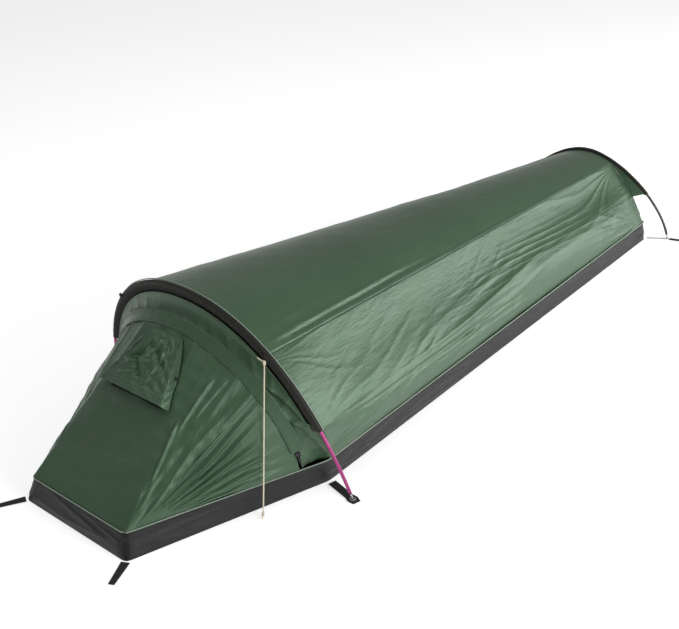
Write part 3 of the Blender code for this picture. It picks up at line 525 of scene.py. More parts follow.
# A round tube or rod along a path; the ends are closed, or joined to a bore.
def tubePiece(name, path, radius, material, sides=12, up=(0.0, 0.0, 1.0), bore=None, taper=None, **rest):
    rows = len(path)
    lift, side = sidesOf(path, up)
    angle = np.linspace(0, 2 * math.pi, sides, endpoint=False)
    width = np.full(rows, 1.0) if taper is None else taper
    ring = side[:, None] * np.cos(angle)[None, :, None] + lift[:, None] * np.sin(angle)[None, :, None]
    outer = (path[:, None] + ring * radius * width[:, None, None]).reshape(-1, 3)
    reach = reachOf(path)
    flat = np.stack([np.tile(angle / 6.2832, rows), np.repeat(reach, sides)], 1)
    if bore is None:
        points = np.concatenate([outer, path[:1], path[-1:]])
        return rodPiece(name, points, rows, sides, reach[-1], material, flat, **rest)
    points = np.concatenate([outer, (path[:, None] + ring * bore).reshape(-1, 3)])
    return meshPiece(name, points, boredFaces(rows, sides), material, np.tile(flat, (2, 1)), **rest)


# Rows of points round a solid rod and its two end points, in triangles.
def rodPiece(name, points, rows, sides, long, material, flat, **rest):
    squares = quads(rows, sides, 0, True)
    split = np.concatenate([squares[:, [0, 1, 2]], squares[:, [0, 2, 3]], endFans(rows, sides)])
    if len(flat) < len(points):
        flat = np.concatenate([flat, [[0.0, 0.0], [0.0, long]]])
    return meshPiece(name, points, split, material, flat, **rest)


# Gives the piece a mesh of its own.
def foldsWith(piece):
    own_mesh(piece)
    return piece


# A stretch of a curve between two shares of its length.
def share(curve, low, high, count):
    return resampled(curve, np.linspace(low, high, count))


# A grid of straight threads from one curve to another.
def between(first, second, count):
    t = np.linspace(0.0, 1.0, count)[:, None, None]
    return first[None] * (1 - t) + second[None] * t


# What mirrored pieces differ by: the sign of X, the word in a name and the word in a node's name.
bothSides = ((1, "Right", "right"), (-1, "Left", "left"))


guySet = {"radius": 0.0017, "low": (0.318, 0.314), "knot": 0.0046}
guyTop = resampled(frontHoop, [1 - size["frontSeam"]])[0]
guyTop = guyTop + frontAhead * (size["sleeveRadius"] + 0.0085) + (0.002, 0.0, -0.012)
guyLow = np.array([*guySet["low"], guySet["radius"] + 0.0006])
guyPath = np.linspace(guyTop, guyLow, 60)


# A cord wound round a small ball: a helix whose radius swells in the middle, with its two short tails.
def knotPiece(name, middle, way, reach, radius, tails, **rest):
    t = np.linspace(0, 1, 90)
    way = unit(np.asarray(way, float))
    first = unit(np.cross(way, (0.3, 1.0, 0.2)))
    second = np.cross(way, first)
    wide = reach * 0.62 * (0.75 + 0.25 * np.sin(np.pi * t))
    turn = 2 * math.pi * 3.2 * t
    path = (np.asarray(middle)[None] + way * ((t - 0.5) * reach * 1.9)[:, None] + first * (wide * np.cos(turn))[:, None]
            + second * (wide * np.sin(turn))[:, None])
    for end, tail in ((0, tails[0]), (-1, tails[1])):
        if tail is None:
            continue
        steps = np.linspace(0, 1, 16)[1:, None]
        target = np.asarray(middle) + tail
        extra = path[end] * (1 - steps) + target * steps + np.array([0.0, 0.0, -0.002]) * 4 * steps * (1 - steps)
        path = np.concatenate([extra[::-1], path]) if end == 0 else np.concatenate([path, extra])
    return tubePiece(name, path, radius, mats["cord"], 8, **rest)


guyKnot = knotPiece("guyKnot", guyTop + (0.0, 0.0, 0.004), guyLow - guyTop, guySet["knot"], guySet["radius"] * 0.9,
                    ((-0.016, -0.006, 0.012), None), body="bag", slot="guy_cream")
guyFoot = knotPiece("guyFootKnot", guyLow + (0.0, 0.0, 0.0055), guyLow - guyTop, 0.0042, guySet["radius"] * 0.9,
                    (None, (0.006, -0.010, -0.004)), body="bag", slot="guy_cream")
guyLine = tubePiece("guyLine", guyPath, guySet["radius"], mats["cord"], 12, body="bag", slot="guy_cream",
                    replaced=["guy_line"])
float(np.linalg.norm(guyLow - guyTop))
for piece in (guyLine, guyKnot, guyFoot):
    foldsWith(piece)
print("guy line made")

stitchSet = {"long": 0.0034, "pitch": 0.0050, "thick": 0.00042}
stitchEnds = np.array([[0, 2, 1], [0, 3, 2], [0, 4, 3], [15, 16, 17], [15, 17, 18], [15, 18, 19]])


# Short raised rods, one for each pitch along a path, all in one mesh; turned ones lie across the path.
def stitches(name, path, normals, body="bag", slot="shell_green", thread="thread", flatten=True, turned=False, **given):
    s = {**stitchSet, **given}
    reach = reachOf(path)
    count = int(reach[-1] / s["pitch"])
    shares = (np.arange(count) + 0.5) / count
    places, ups = (np.stack([np.interp(shares, reach / reach[-1], v[:, k]) for k in range(3)], 1)
                   for v in (path, normals))
    ups = unit(ups)
    ways = unit(resampled(path, np.minimum(shares + 0.002, 1.0)) - resampled(path, np.maximum(shares - 0.002, 0.0)))
    sides = np.cross(ways, ups)
    if turned:
        ways, sides = sides, ways
    along = np.array([-0.5, -0.3, 0.3, 0.5]) * s["long"]
    wide = np.array([0.35, 1.0, 1.0, 0.35]) * s["thick"]
    angle = np.linspace(0, 2 * math.pi, 5, endpoint=False)
    rod = np.array([(a, w * math.cos(t), w * math.sin(t)) for a, w in zip(along, wide) for t in angle])
    points = places[:, None] + sum(way[:, None] * rod[None, :, k:k + 1] for k, way in enumerate((ways, sides, ups)))
    ring = quads(4, 5, 0, True)
    one = np.concatenate([ring[:, [0, 1, 2]], ring[:, [0, 2, 3]], stitchEnds])
    faces = (one[None] + (np.arange(count) * len(rod))[:, None, None]).reshape(-1, 3)
    made = meshPiece(name, points.reshape(-1, 3), faces, mats[thread], body=body, slot=slot)
    return foldsWith(made) if flatten else made


# A line of a grid, a share in from one side, with its normals, just off the cloth.
def gridLine(grid, outwards, axis, at):
    normal = gridNormals(grid, outwards)
    steps = grid.shape[axis] - 1
    place = at * steps if at >= 0 else steps + at * steps
    low = int(min(max(place, 0), steps - 1))
    part = place - low
    take = (lambda g, k: g[k]) if axis == 0 else (lambda g, k: g[:, k])
    path = take(grid, low) * (1 - part) + take(grid, low + 1) * part
    up = unit(take(normal, low) * (1 - part) + take(normal, low + 1) * part)
    return path + up * 0.0004, up


# Lines of stitches on a grid, numbered, at pairs of an axis and a share in from one side.
def seams(name, grid, outwards, places, **rest):
    for number, (axis, at) in enumerate(places):
        stitches("%s%d" % (name, number), *gridLine(grid, outwards, axis, at), **rest)


# A cloth panel: the grid pushed along its normals by the bumps and given a thickness.
def panel(name, grid, bumps, inner, node, body="bag", thick=0.0007, hole=None):
    along, across = flatSize(grid)
    stepsDown = np.linalg.norm(np.diff(grid, axis=0), axis=2)
    stepsOver = np.linalg.norm(np.diff(grid, axis=1), axis=2)
    cells = stepsDown[:, :-1] * stepsOver[:-1]
    t = np.linspace(0, 1, grid.shape[0])[:, None] + np.zeros(grid.shape[1])
    u = np.linspace(0, 1, grid.shape[1])[None] + np.zeros((grid.shape[0], 1))
    grid = grid + gridNormals(grid, inner) * bumps(along, across, t, u)[..., None]
    made = clothPiece(name, grid, thick, inner, mats["green"], hole=hole, body=body, slot="shell_green",
                      replaced=[node])
    wide, tall = float((across[:, -1] - across[:, 0]).max()), float(stepsDown.sum(0).max())
    area = float(cells.sum() if hole is None else cells[~hole].sum())
    foldsWith(made)
    return grid


# The middle of a stretched panel drawn a little towards the axis of the tent.
def pulledIn(grid, sag):
    t = np.linspace(0, 1, len(grid))[:, None, None]
    inward = unit(np.array([0.0, 0.0, 0.10]) - grid * (1.0, 0.0, 1.0))
    return grid + inward * 4 * t * (1 - t) * sag


# The sum of a panel's fans, folds and a slow unevenness, with anything special to the panel.
def bumpsOf(fans, long, extra=None):
    def bumps(a, b, t, u):
        total = sum(fan(a, b, s) for s in fans) + sum(folds(a, b, s) for s in long)
        total = total + drift(a, b, 5, 0.32) * 0.0010 + drift(a, b, 6, 0.11) * 0.00030
        return total if extra is None else total + extra(a, b, t, u)
    return bumps


# Rows of a table, as one dictionary for each.
def table(keys, *values):
    return [dict(zip(keys.split(), row)) for row in values]


fanKeys = "at reach start aim spread count tall sharp seed"
foldKeys = "turn at long wide gap tall sharp seed wander"


# A step from 0 to 1 with soft ends.
def ease(x, low, high):
    k = np.clip((x - low) / (high - low), 0.0, 1.0)
    return k * k * (3 - 2 * k)


# A single narrow fold along a line from one point to another of the panel's own shares.
def crease(t, u, first, last, wide, tall):
    way = np.array(last) - np.array(first)
    reach = np.hypot(*way)
    along = ((t - first[0]) * way[0] + (u - first[1]) * way[1]) / reach ** 2
    side = ((t - first[0]) * way[1] - (u - first[1]) * way[0]) / reach
    ends = ease(along, -0.05, 0.15) * (1 - ease(along, 0.80, 1.05))
    return tall * np.exp(-np.abs(side / wide) ** 1.5) * ends


# Several such folds: rows of first and last point, width and height, where a height below 0 makes a valley.
def creases(t, u, *rows):
    return sum(crease(t, u, *row) for row in rows)


inside = np.array([0.0, 1.1, 0.1])
behindFront = -frontAhead * (size["sleeveRadius"] + 0.002)
beforeRear = rearAhead * (size["sleeveRadius"] + 0.002)
seamShare = 1 - size["frontSeam"]

roofSet = {"rows": 210, "columns": 110, "sag": 0.006}
roofFolds = table(foldKeys, (0.3, (0.85, 0.03), 0.9, 0.16, 0.085, 0.0010, 1.5, 13),
                  (2.0, (1.2, 0.05), 0.35, 0.05, 0.022, 0.0009, 2.0, 14))
roofFans = table(fanKeys, *[((0.01, side * 0.24), 0.22, 0.03, -side * 0.25, 0.5, 30.0, 0.0022, 1.8, 21 + side)
                            for side in (1, -1)],
                 *[((1.70, side * 0.10), 0.16, 0.02, side * 3.0, 0.7, 26.0, 0.0022, 1.8, 24 + side)
                   for side in (1, -1)])


# The long thin folds that leave each guy tab beside the roof seam.
def roofCreases(a, b, t, u):
    lines = (((0.015, 0.955), (0.34, 0.925), 0.010, 0.0032), ((0.010, 0.985), (0.95, 0.982), 0.006, 0.0016),
             ((0.020, 0.972), (0.42, 0.950), 0.010, -0.0020), ((0.30, 0.86), (0.62, 0.80), 0.008, 0.0010))
    return sum(creases(t, w, *lines) for w in (1 - u, u))


roofFront = share(frontHoop, size["frontSeam"], seamShare, roofSet["columns"]) + behindFront
roofRear = share(rearHoop, size["rearSeam"], 1 - size["rearSeam"], roofSet["columns"]) + beforeRear
roofGrid = pulledIn(between(roofFront, roofRear, roofSet["rows"]), roofSet["sag"])
roofShape = panel("roofPanel", roofGrid, bumpsOf(roofFans, roofFolds, roofCreases), inside, "roof_panel")
seams("roofStitches", roofShape, inside, ((1, 0.010), (1, 0.022), (1, -0.010), (1, -0.022)))
print("roof made")

sideSet = {"rows": 230, "columns": 130, "sag": 0.004, "belly": 0.0105}
sideFans = table(fanKeys, ((-0.01, -0.17), 0.22, 0.03, 0.30, 0.45, 34.0, 0.0026, 1.8, 31),
                 ((-0.05, 0.03), 0.26, 0.05, 0.05, 0.40, 44.0, 0.0042, 1.7, 32),
                 ((-0.05, 0.15), 0.52, 0.06, -0.10, 0.26, 40.0, 0.0062, 1.6, 33),
                 ((1.72, -0.10), 0.42, 0.04, 2.95, 0.40, 34.0, 0.0046, 1.7, 34),
                 ((1.72, 0.10), 0.30, 0.04, -3.0, 0.40, 30.0, 0.0030, 1.7, 35))
sideFolds = table(foldKeys, (-3.0, (0.80, 0.04), 0.65, 0.060, 0.040, 0.0060, 1.3, 41, 0.35),
                  (-7.0, (0.62, 0.05), 0.34, 0.07, 0.024, 0.0032, 1.6, 42, 0.4),
                  (4.0, (1.25, 0.01), 0.42, 0.06, 0.021, 0.0034, 1.6, 43, 0.4),
                  (-22.0, (0.95, 0.03), 0.12, 0.26, 0.060, 0.0018, 2.2, 44, 0.5),
                  (-16.0, (0.40, 0.04), 0.14, 0.16, 0.034, 0.0022, 2.0, 45, 0.5))


# Front and rear edge of a side panel, from the roof seam down to the tub.
def sideEdges(side, count):
    front = share(frontHoop, seamShare, 1 - frontEnd, 40) + behindFront
    foot = np.array([size["shoulderHalf"] + 0.001, size["shoulderDepth"] + 0.012, size["clothBase"]])
    front = resampled(np.concatenate([front, np.linspace(front[-1], foot, 12)[1:]]), np.linspace(0, 1, count))
    top = resampled(rearHoop, [1 - size["rearSeam"]])[0] + beforeRear
    low = np.array([size["footHalf"] - 0.004, size["length"] - 0.012, size["clothBase"]])
    rear = resampled(np.array([top, (top + low) / 2 + (0.012, 0.0, 0.008), low]), np.linspace(0, 1, count))
    return front * (side, 1, 1), rear * (side, 1, 1)


# Under the roof seam the panel hangs in, and above the tub it stands out; short gathers hang on the hoop.
def sideBelly(a, b, t, u):
    ends = ease(t, 0.0, 0.12) * (1 - ease(t, 0.90, 1.0))
    wave = -np.sin(2 * np.pi * np.clip(u, 0, 1)) * sideSet["belly"] * ends
    gathers = (crest(u * 150.0 + drift(a, b, 47, 0.1) * 1.2, 1.4) - 0.4) * 0.0011
    long = creases(t, u, ((0.03, 0.60), (0.50, 0.66), 0.014, 0.0060), ((0.03, 0.66), (0.55, 0.74), 0.020, -0.0060),
                   ((0.03, 0.74), (0.62, 0.86), 0.016, 0.0045))
    return wave + gathers * np.exp(-t / 0.018) * ease(u, 0.25, 0.4) + long + np.exp(-(1 - t) / 0.010) * -0.002


for side, sideName, low in bothSides:
    front, rear = sideEdges(side, sideSet["columns"])
    grid = pulledIn(between(front, rear, sideSet["rows"]), sideSet["sag"])
    shaped = panel("sidePanel" + sideName, grid, bumpsOf(sideFans, sideFolds, sideBelly), inside, "side_panel_" + low)
    seams("side%sStitches" % sideName, shaped, inside, ((1, 0.012), (1, -0.012), (0, -0.006), (0, -0.012)))
print("sides made")

footSet = {"rows": 40, "columns": 120, "depth": size["length"] - 0.006}
leftRear, rightRear = sideEdges(-1, 40)[1], sideEdges(1, 40)[1]
footTop = resampled(np.concatenate([leftRear[::-1], roofRear[1:-1], rightRear]), np.linspace(0, 1, footSet["columns"]))
footLine = np.linspace(rightRear[-1] * (-1, 1, 1), rightRear[-1], footSet["columns"])
footHeart = np.array([0.0, 0.0, 0.12])
footGrid = (between(footLine, footTop, footSet["rows"]) - footHeart) * (0.985, 1.0, 0.985) + footHeart
footGrid[..., 1] = footSet["depth"]
footGrid[..., 2] = np.maximum(footGrid[..., 2], size["clothBase"])
footGrid = footGrid[:, 5:-5]
footFans = table(fanKeys, ((0.0, 0.0), 0.30, 0.05, 1.57, 1.4, 14.0, 0.0030, 1.5, 51))
footFolds = table(foldKeys, (90.0, (0.08, 0.0), 0.30, 0.10, 0.030, 0.0022, 1.6, 52))
wingFolds = table(foldKeys, (60.0, (0.03, 0.0), 0.08, 0.10, 0.02, 0.0016, 1.6, 53))
footIn = (0.0, 1.0, 0.1)
footShape = panel("footPanel", footGrid, bumpsOf(footFans, footFolds), footIn, "foot_panel")
stitches("footStitches", *gridLine(footShape, footIn, 0, -0.05))
for side, sideName, low in bothSides:
    inner = resampled(sideEdges(side, 60)[1][:36], np.linspace(0, 1, 40)) + (-0.002 * side, 0.0, 0.0)
    outer = share(rearHoop, 1 - size["rearSeam"], 1 - rearEnd - 0.004, 40) * (side, 1, 1) + beforeRear * 0.5
    panel("footWing" + sideName, between(inner, outer, 26), bumpsOf([], wingFolds), (0.0, 3.0, 0.1), "foot_wing_" + low)
print("foot end made")

sleeveMiddle = np.array([0.0, frontHoopSet["depth"] - 0.06, 0.10])
sleeveLine = share(frontHoop, frontEnd, 1 - frontEnd, 161)
inwards = sleeveMiddle - sleeveLine
inwards = unit(inwards - frontAhead * (inwards @ frontAhead)[:, None])
sleeveEdge = sleeveLine + inwards * 0.0225 + frontAhead * (size["sleeveRadius"] + 0.0015)
hoopFoot = np.array([size["shoulderHalf"] + 0.0012, size["shoulderDepth"] + 0.0115, size["clothBase"]])
sleeveFoot = share(frontHoop, 1 - frontEnd, 1.0, 2)[0] + behindFront * 0.9
browSet = {"rows": 60, "columns": 240}
browLow = resampled(clothArch(0.0040), np.linspace(0, 1, browSet["columns"]))
browHigh = np.concatenate([np.linspace(hoopFoot * (-1, 1, 1), sleeveFoot * (-1, 1, 1), 14)[:-1],
                           np.linspace(sleeveFoot * (-1, 1, 1), sleeveEdge[4], 6)[:-1], sleeveEdge[4:-4],
                           np.linspace(sleeveEdge[-5], sleeveFoot, 6)[1:], np.linspace(sleeveFoot, hoopFoot, 14)[1:]])
browHigh = resampled(browHigh, np.linspace(0, 1, browSet["columns"]))


# Gathers that run across the brow from the zip to the hoop, deeper towards the feet, and a hollow between them.
def browGathers(a, b, t, u):
    foot = np.abs(u - 0.5) * 2
    middle = np.sin(np.pi * t)
    wander = drift(t * 0.6, u * 3.0, 61, 1.0) * 1.8
    wide = (crest(u * 120.0 + wander + t * 5.0 * np.sign(u - 0.5), 1.5) - 0.4) * 0.0040 * (0.4 + 0.8 * foot)
    slanted = (crest(u * 46.0 - t * 9.0 * np.sign(u - 0.5) + wander, 1.4) - 0.4) * 0.0056 * ease(foot, 0.1, 0.6)
    return (wide + slanted) * middle ** 0.8 - 0.009 * middle


browIn = (0.0, 0.9, 0.0)
browShape = panel("browPanel", between(browLow, browHigh, browSet["rows"]), browGathers, browIn, "brow_panel")
stitches("browStitches", *gridLine(browShape, browIn, 0, -0.06))

doorSet = {"count": 44, "split": 10, "rows": 170, "columns": 150, "sideColumns": 90, "corner": 0.40, "tuck": 0.11,
           "slot": (0.598, 0.662), "slotHalf": 3}
doorEdge = resampled(clothArch(-0.0045), np.linspace(0, 1, 801))
doorEdge[:, 2] = np.maximum(doorEdge[:, 2], size["clothBase"])


# Where the threads of cloth that end at these shares of the zip start on the tub.
def doorFeet(shares):
    side = np.where(shares > 0.5, 1.0, -1.0)
    spread = np.abs(shares - 0.5) * 2
    flat = 1 - 2 * doorSet["corner"]
    corner = np.array([size["frontHalf"] - size["sideLean"], size["frontLean"] + 0.0005, size["clothBase"]])
    end = np.array([archSet["foot"][0], archSet["foot"][1], size["clothBase"]])
    way = unit(end - corner)
    along = np.clip((spread - flat) / (2 * doorSet["corner"]), 0, 1)
    feet = corner + way * (doorSet["tuck"] * along ** 1.5)[:, None]
    feet[:, 0] *= np.minimum(spread / flat, 1.0)
    return feet * np.stack([side, np.ones_like(side), np.ones_like(side)], 1)


# A leaf of the hood between two shares of the zip; its ends reach over the seam by a little.
def leafGrid(low, high, columns):
    shares = np.linspace(low, high, columns)
    top = np.stack([np.interp(shares, np.linspace(0, 1, 801), doorEdge[:, k]) for k in range(3)], 1)
    return between(doorFeet(shares), top, doorSet["rows"])


leafLow = doorSet["split"] / doorSet["count"]
doorIn = (0.0, 0.9, -0.2)


# Soft pleats hanging from the zip, the creases below the vent, and ridges that fan out of each front corner.
def doorFolds(a, b, t, u):
    hang = ease(t, 0.35, 0.95) * (1 - ease(t, 0.97, 1.0))
    total = (crest(u * 58.0 + drift(t * 0.5, u * 2.0, 71, 0.8) * 2.0, 1.3) - 0.4) * 0.0042 * hang
    tall = 0.0042 * ease(t, 0.0, 0.2) * (1 - ease(t, 0.75, 1.0))
    for w in (1 - u, u):
        total = total + (crest(w * 40.0 + drift(t, u, 72, 0.6) * 1.2, 1.3) - 0.4) * ease(w, 0.70, 0.95) * tall
    total = total + creases(
        t, u, ((0.60, 0.735), (0.27, 0.752), 0.010, 0.0085), ((0.90, 0.80), (0.55, 0.765), 0.010, 0.0060),
        ((0.95, 0.86), (0.66, 0.82), 0.009, 0.0048), ((0.20, 0.30), (0.30, 0.62), 0.014, 0.0030),
        ((0.10, 0.45), (0.22, 0.75), 0.014, 0.0024), ((0.40, 0.20), (0.18, 0.30), 0.014, 0.0030))
    return total + (drift(t, u, 73, 0.5) * 0.0034 + drift(t * 1.5, u * 1.5, 74, 0.22) * 0.0014) * np.sin(np.pi * t)


doorGrid = leafGrid(leafLow - 0.004, 1 - leafLow + 0.004, doorSet["columns"])
doorGrid = doorGrid + gridNormals(doorGrid, doorIn) * 0.0010
rowShare = np.linspace(0, 1, doorSet["rows"])
columnShare = np.linspace(leafLow - 0.004, 1 - leafLow + 0.004, doorSet["columns"])
slotRows = (rowShare[:-1] >= doorSet["slot"][0]) & (rowShare[1:] <= doorSet["slot"][1])
slotColumns = np.abs((columnShare[:-1] + columnShare[1:]) / 2 - 0.5) < doorSet["slotHalf"] / doorSet["count"]
slotHole = slotRows[:, None] & slotColumns[None]
doorShape = panel("doorPanel", doorGrid, doorFolds, doorIn, "door_panel", body="door", hole=slotHole)


# Ridges that all leave the front corner and widen towards the zip, tallest half way up.
def leafFolds(side):
    def bumps(a, b, t, u):
        w = u if side > 0 else 1 - u
        grow = ease(t, 0.03, 0.30) * (1 - ease(t, 0.62, 0.98) * 0.85) * np.minimum(t * 2.2, 1.0)
        ridges = (crest(w * 40.0 + 1.2 + drift(t * 0.5, w, 81, 0.5) * 1.1, 1.1) - 0.45) * 0.0100 * grow
        fine = (crest(w * 105.0 + drift(t, w, 82, 0.4) * 1.5, 1.6) - 0.4) * 0.0020
        fine = fine * ease(t, 0.05, 0.2) * (1 - ease(t, 0.45, 0.85))
        edge = ease(w, 0.0, 0.06) * (1 - ease(w, 0.96, 1.0) * 0.7)
        return (ridges + fine) * edge + drift(t, w, 83, 0.6) * 0.002 * np.sin(np.pi * t)
    return bumps


for side, sideName, low in bothSides:
    span = (1 - leafLow - 0.001, 1.0) if side > 0 else (0.0, leafLow + 0.001)
    shaped = panel("hoodSide" + sideName, leafGrid(*span, doorSet["sideColumns"]), leafFolds(side), doorIn,
                   "hood_side_" + low, body="hood_" + low)
    stitches("hood%sStitches" % sideName, *gridLine(shaped, doorIn, 0, -0.012), body="hood_" + low)
seams("doorStitches", doorShape, doorIn, ((1, 0.012), (1, -0.012), (0, -0.012)), body="door")
print("hood made")

flapSet = {"out": 0.0060, "over": (-0.0120, 0.0200), "first": 7.5, "rows": 14, "columns": 420}
flapFirst = math.radians(flapSet["first"])
flapAngles = np.linspace(math.pi - flapFirst, flapFirst, flapSet["columns"])
flapPoint, flapAcross, flapOut = archFrame(flapAngles)
reach = np.linspace(*flapSet["over"], flapSet["rows"])[:, None, None]
waves = drift(reach[..., 0] * 3 + 0.0 * flapAngles[None], flapAngles[None] + 0 * reach[..., 0], 91, 0.7) * 0.0007
loose = ease(-reach[..., 0], -0.008, 0.012)
flapLift = flapSet["out"] + waves * loose - 0.0012 * (1 - loose)
flapGrid = flapPoint[None] + flapAcross[None] * reach + flapOut[None] * flapLift[..., None]
flapIn = (0.0, 0.9, -0.3)
flapShape = panel("stormFlap", flapGrid, lambda a, b, t, u: 0.0 * a, flapIn, "storm_flap", thick=0.0009)
seams("flapStitches", flapShape, flapIn, ((0, -0.12), (0, -0.26), (0, 0.12)))

# the zip: where its ends and the hood's seams lie on the arch
leafTop = np.interp(1 - leafLow, np.linspace(0, 1, 801), doorEdge @ archUp) - archHeart @ archUp
leafAngle = math.asin(max(min(leafTop / archSet["radius"], 1), -1))
zipFoot = math.radians(archSet["low"])
zipSet = {"tape": 0.0082, "gap": 0.0013, "thick": 0.0006, "tooth": 0.0022, "toothHalf": 0.0007, "pitch": 0.0024,
          "off": 0.0012, "raised": 0.0008}


# One side of the zip over a run of angles: a tape and a row of teeth, on the brow's side or the door's.
def zipHalf(name, first, last, count, way, body, nodes):
    point, across, out = archFrame(np.linspace(first, last, count))
    edges = np.array([zipSet["gap"], zipSet["tape"]])[:, None, None] * way
    tape = point[None] + across[None] * edges + out[None] * 0.0002
    foldsWith(clothPiece(name, tape, zipSet["thick"], doorIn, mats["tape"], body=body, slot="zip_black",
                         replaced=nodes))
    teethLine = point + across * (way * zipSet["off"]) + out * zipSet["raised"]
    stitches(name + "Teeth", teethLine, out, body, "zip_black", "coil", turned=True, long=zipSet["tooth"],
             pitch=zipSet["pitch"], thick=zipSet["toothHalf"])


zipHalf("zipBrow", math.pi - zipFoot, zipFoot, 320, 1, "bag", ["zip_half_brow"])
zipHalf("zipDoor", math.pi - leafAngle, leafAngle, 220, -1, "door", ["zip_half_door"])
zipHalf("zipRight", leafAngle, zipFoot, 60, -1, "hood_right", [])
zipHalf("zipLeft", math.pi - zipFoot, math.pi - leafAngle, 60, -1, "hood_left", [])
print("zip made")

# the vent: an awning sewn on three sides over the slot, with a stiffened hem
ventSet = {"topHalf": 0.055, "lowHalf": 0.113, "top": 0.045, "low": 0.395, "base": 0.0022, "lift": 0.030, "hem": 0.875}
faceLow = np.array([0.0, size["frontLean"] + 0.0005, size["clothBase"]])
faceHigh = doorEdge[400]
faceUp = unit(faceHigh - faceLow)
faceOut = np.cross(faceUp, (1.0, 0.0, 0.0))
faceOut = -faceOut if faceOut[1] > 0 else faceOut
ventTop = faceLow + (faceHigh - faceLow) * (1 - ventSet["top"])
ventLow = faceLow + (faceHigh - faceLow) * (1 - ventSet["low"])


# Points of the awning at shares across (-1 to 1) and down (0 to 1): it leaves the face at its top seam.
def awning(across, down):
    across, down = np.broadcast_arrays(np.asarray(across, float), np.asarray(down, float))
    half = ventSet["topHalf"] + (ventSet["lowHalf"] - ventSet["topHalf"]) * down
    lift = ventSet["base"] + ventSet["lift"] * down * (1 - 0.35 * across ** 2)
    return (ventTop + (ventLow - ventTop) * down[..., None] + (half * across)[..., None] * np.array([1.0, 0.0, 0.0])
            + faceOut * lift[..., None])


# Crumples of a slack panel: creases that meet at odd angles, flat along the stiff hem.
def awningFolds(a, b, t, u):
    soft = ease(t, 0.0, 0.10) * (1 - ease(t, ventSet["hem"] - 0.06, ventSet["hem"]) * 0.75)
    lines = creases(
        t, u, ((0.15, 0.30), (0.62, 0.10), 0.034, 0.0110), ((0.08, 0.55), (0.60, 0.40), 0.030, 0.0100),
        ((0.62, 0.08), (0.45, 0.62), 0.028, 0.0100), ((0.20, 0.75), (0.80, 0.70), 0.026, 0.0090),
        ((0.42, 0.20), (0.78, 0.55), 0.032, -0.0085), ((0.80, 0.15), (0.66, 0.50), 0.024, 0.0070),
        ((0.25, 0.45), (0.50, 0.85), 0.030, -0.0075), ((0.55, 0.88), (0.86, 0.60), 0.022, 0.0060))
    small = (crest(u * 40.0 + drift(t, u, 94, 0.4) * 3.0, 1.3) - 0.4) * 0.0014 + drift(t, u, 95, 0.16) * 0.0012
    edge = ease(t, ventSet["hem"] - 0.012, ventSet["hem"]) * 0.0009
    sides = ease(np.abs(u - 0.5) * 2, 0.90, 0.93) * 0.0008
    return (lines + small) * soft + edge + sides


ventIn = tuple(faceLow + np.array([0.0, 0.5, 0.0]))
across, down = np.meshgrid(np.linspace(-0.985, 0.985, 120), np.linspace(0.0, 1.0, 120))
coverShape = panel("ventCover", awning(across, down), awningFolds, ventIn, "vent_cover", body="door")
seams("ventStitches", coverShape, ventIn, ((0, -0.115), (0, -0.012), (0, 0.012), (1, 0.030), (1, -0.030), (1, 0.055),
                                           (1, -0.055)), body="door")
across, down = np.meshgrid(np.linspace(-0.9, 0.9, 30), np.linspace(0.90, 0.985, 5))
foldsWith(clothPiece("ventStiffener", awning(across, down) - faceOut * 0.0022, 0.0010, ventIn, mats["tape"],
                     body="door", slot="webbing_black", replaced=["vent_stiffener"]))


# Gathers across a gusset, growing towards its wide end.
def gussetFolds(a, b, t, u):
    return (crest(t * 42.0 + drift(t, u, 97, 0.5) * 2.0, 1.3) - 0.4) * 0.0022 * np.sin(np.pi * u) * t


for side, sideName, low in bothSides:
    down = np.linspace(0.0, 1, 60)
    edgeLine = awning(side * 0.985, down)
    lift = (edgeLine - ventTop) @ faceOut
    part = np.linspace(0.0, 1.0, 14)[None, :, None]
    swell = np.sin(np.pi * np.clip(down, 0, 0.75))[:, None, None]
    gusset = edgeLine[:, None] - faceOut * (lift - ventSet["base"] * 0.3)[:, None, None] * part
    gusset = gusset + np.array([side * 0.014, 0.0, 0.0]) * part ** 1.5 * swell
    panel("ventGusset" + sideName, gusset, gussetFolds, (0.0, faceLow[1], 0.2), "vent_gusset_" + low, body="door")
threads = leafGrid(18 / 44, 26 / 44, 60)
netRows = slice(int(6 / 12 * doorSet["rows"]), int(9 / 12 * doorSet["rows"]), 2)
netGrid = threads[netRows] - gridNormals(threads[netRows], doorIn) * 0.0024
made = foldsWith(clothPiece("ventNet", netGrid, 0.0006, doorIn, mats["net"], body="door", slot="mesh_dark",
                            replaced=["vent_mesh"]))
netWide, netTall = (float(np.linalg.norm(np.diff(netGrid, axis=k), axis=2).sum(k).max()) for k in (1, 0))
middle = awning(0.985, 0.55) + np.array([0.012, 0.0, 0.0]) - faceOut * 0.010
turn = np.linspace(-1, 1, 24)[:, None, None]
over = np.linspace(-1, 1, 10)[None, :, None]
tabGrid = middle + np.array([0.007, 0.0, 0.0]) * turn + faceUp * 0.0035 * over + faceOut * 0.0020 * (1 - turn ** 2)
foldsWith(clothPiece("ventTab", tabGrid, 0.0010, ventIn, mats["tape"], body="door", slot="shell_green",
                     replaced=["vent_tab"]))
print("vent made")


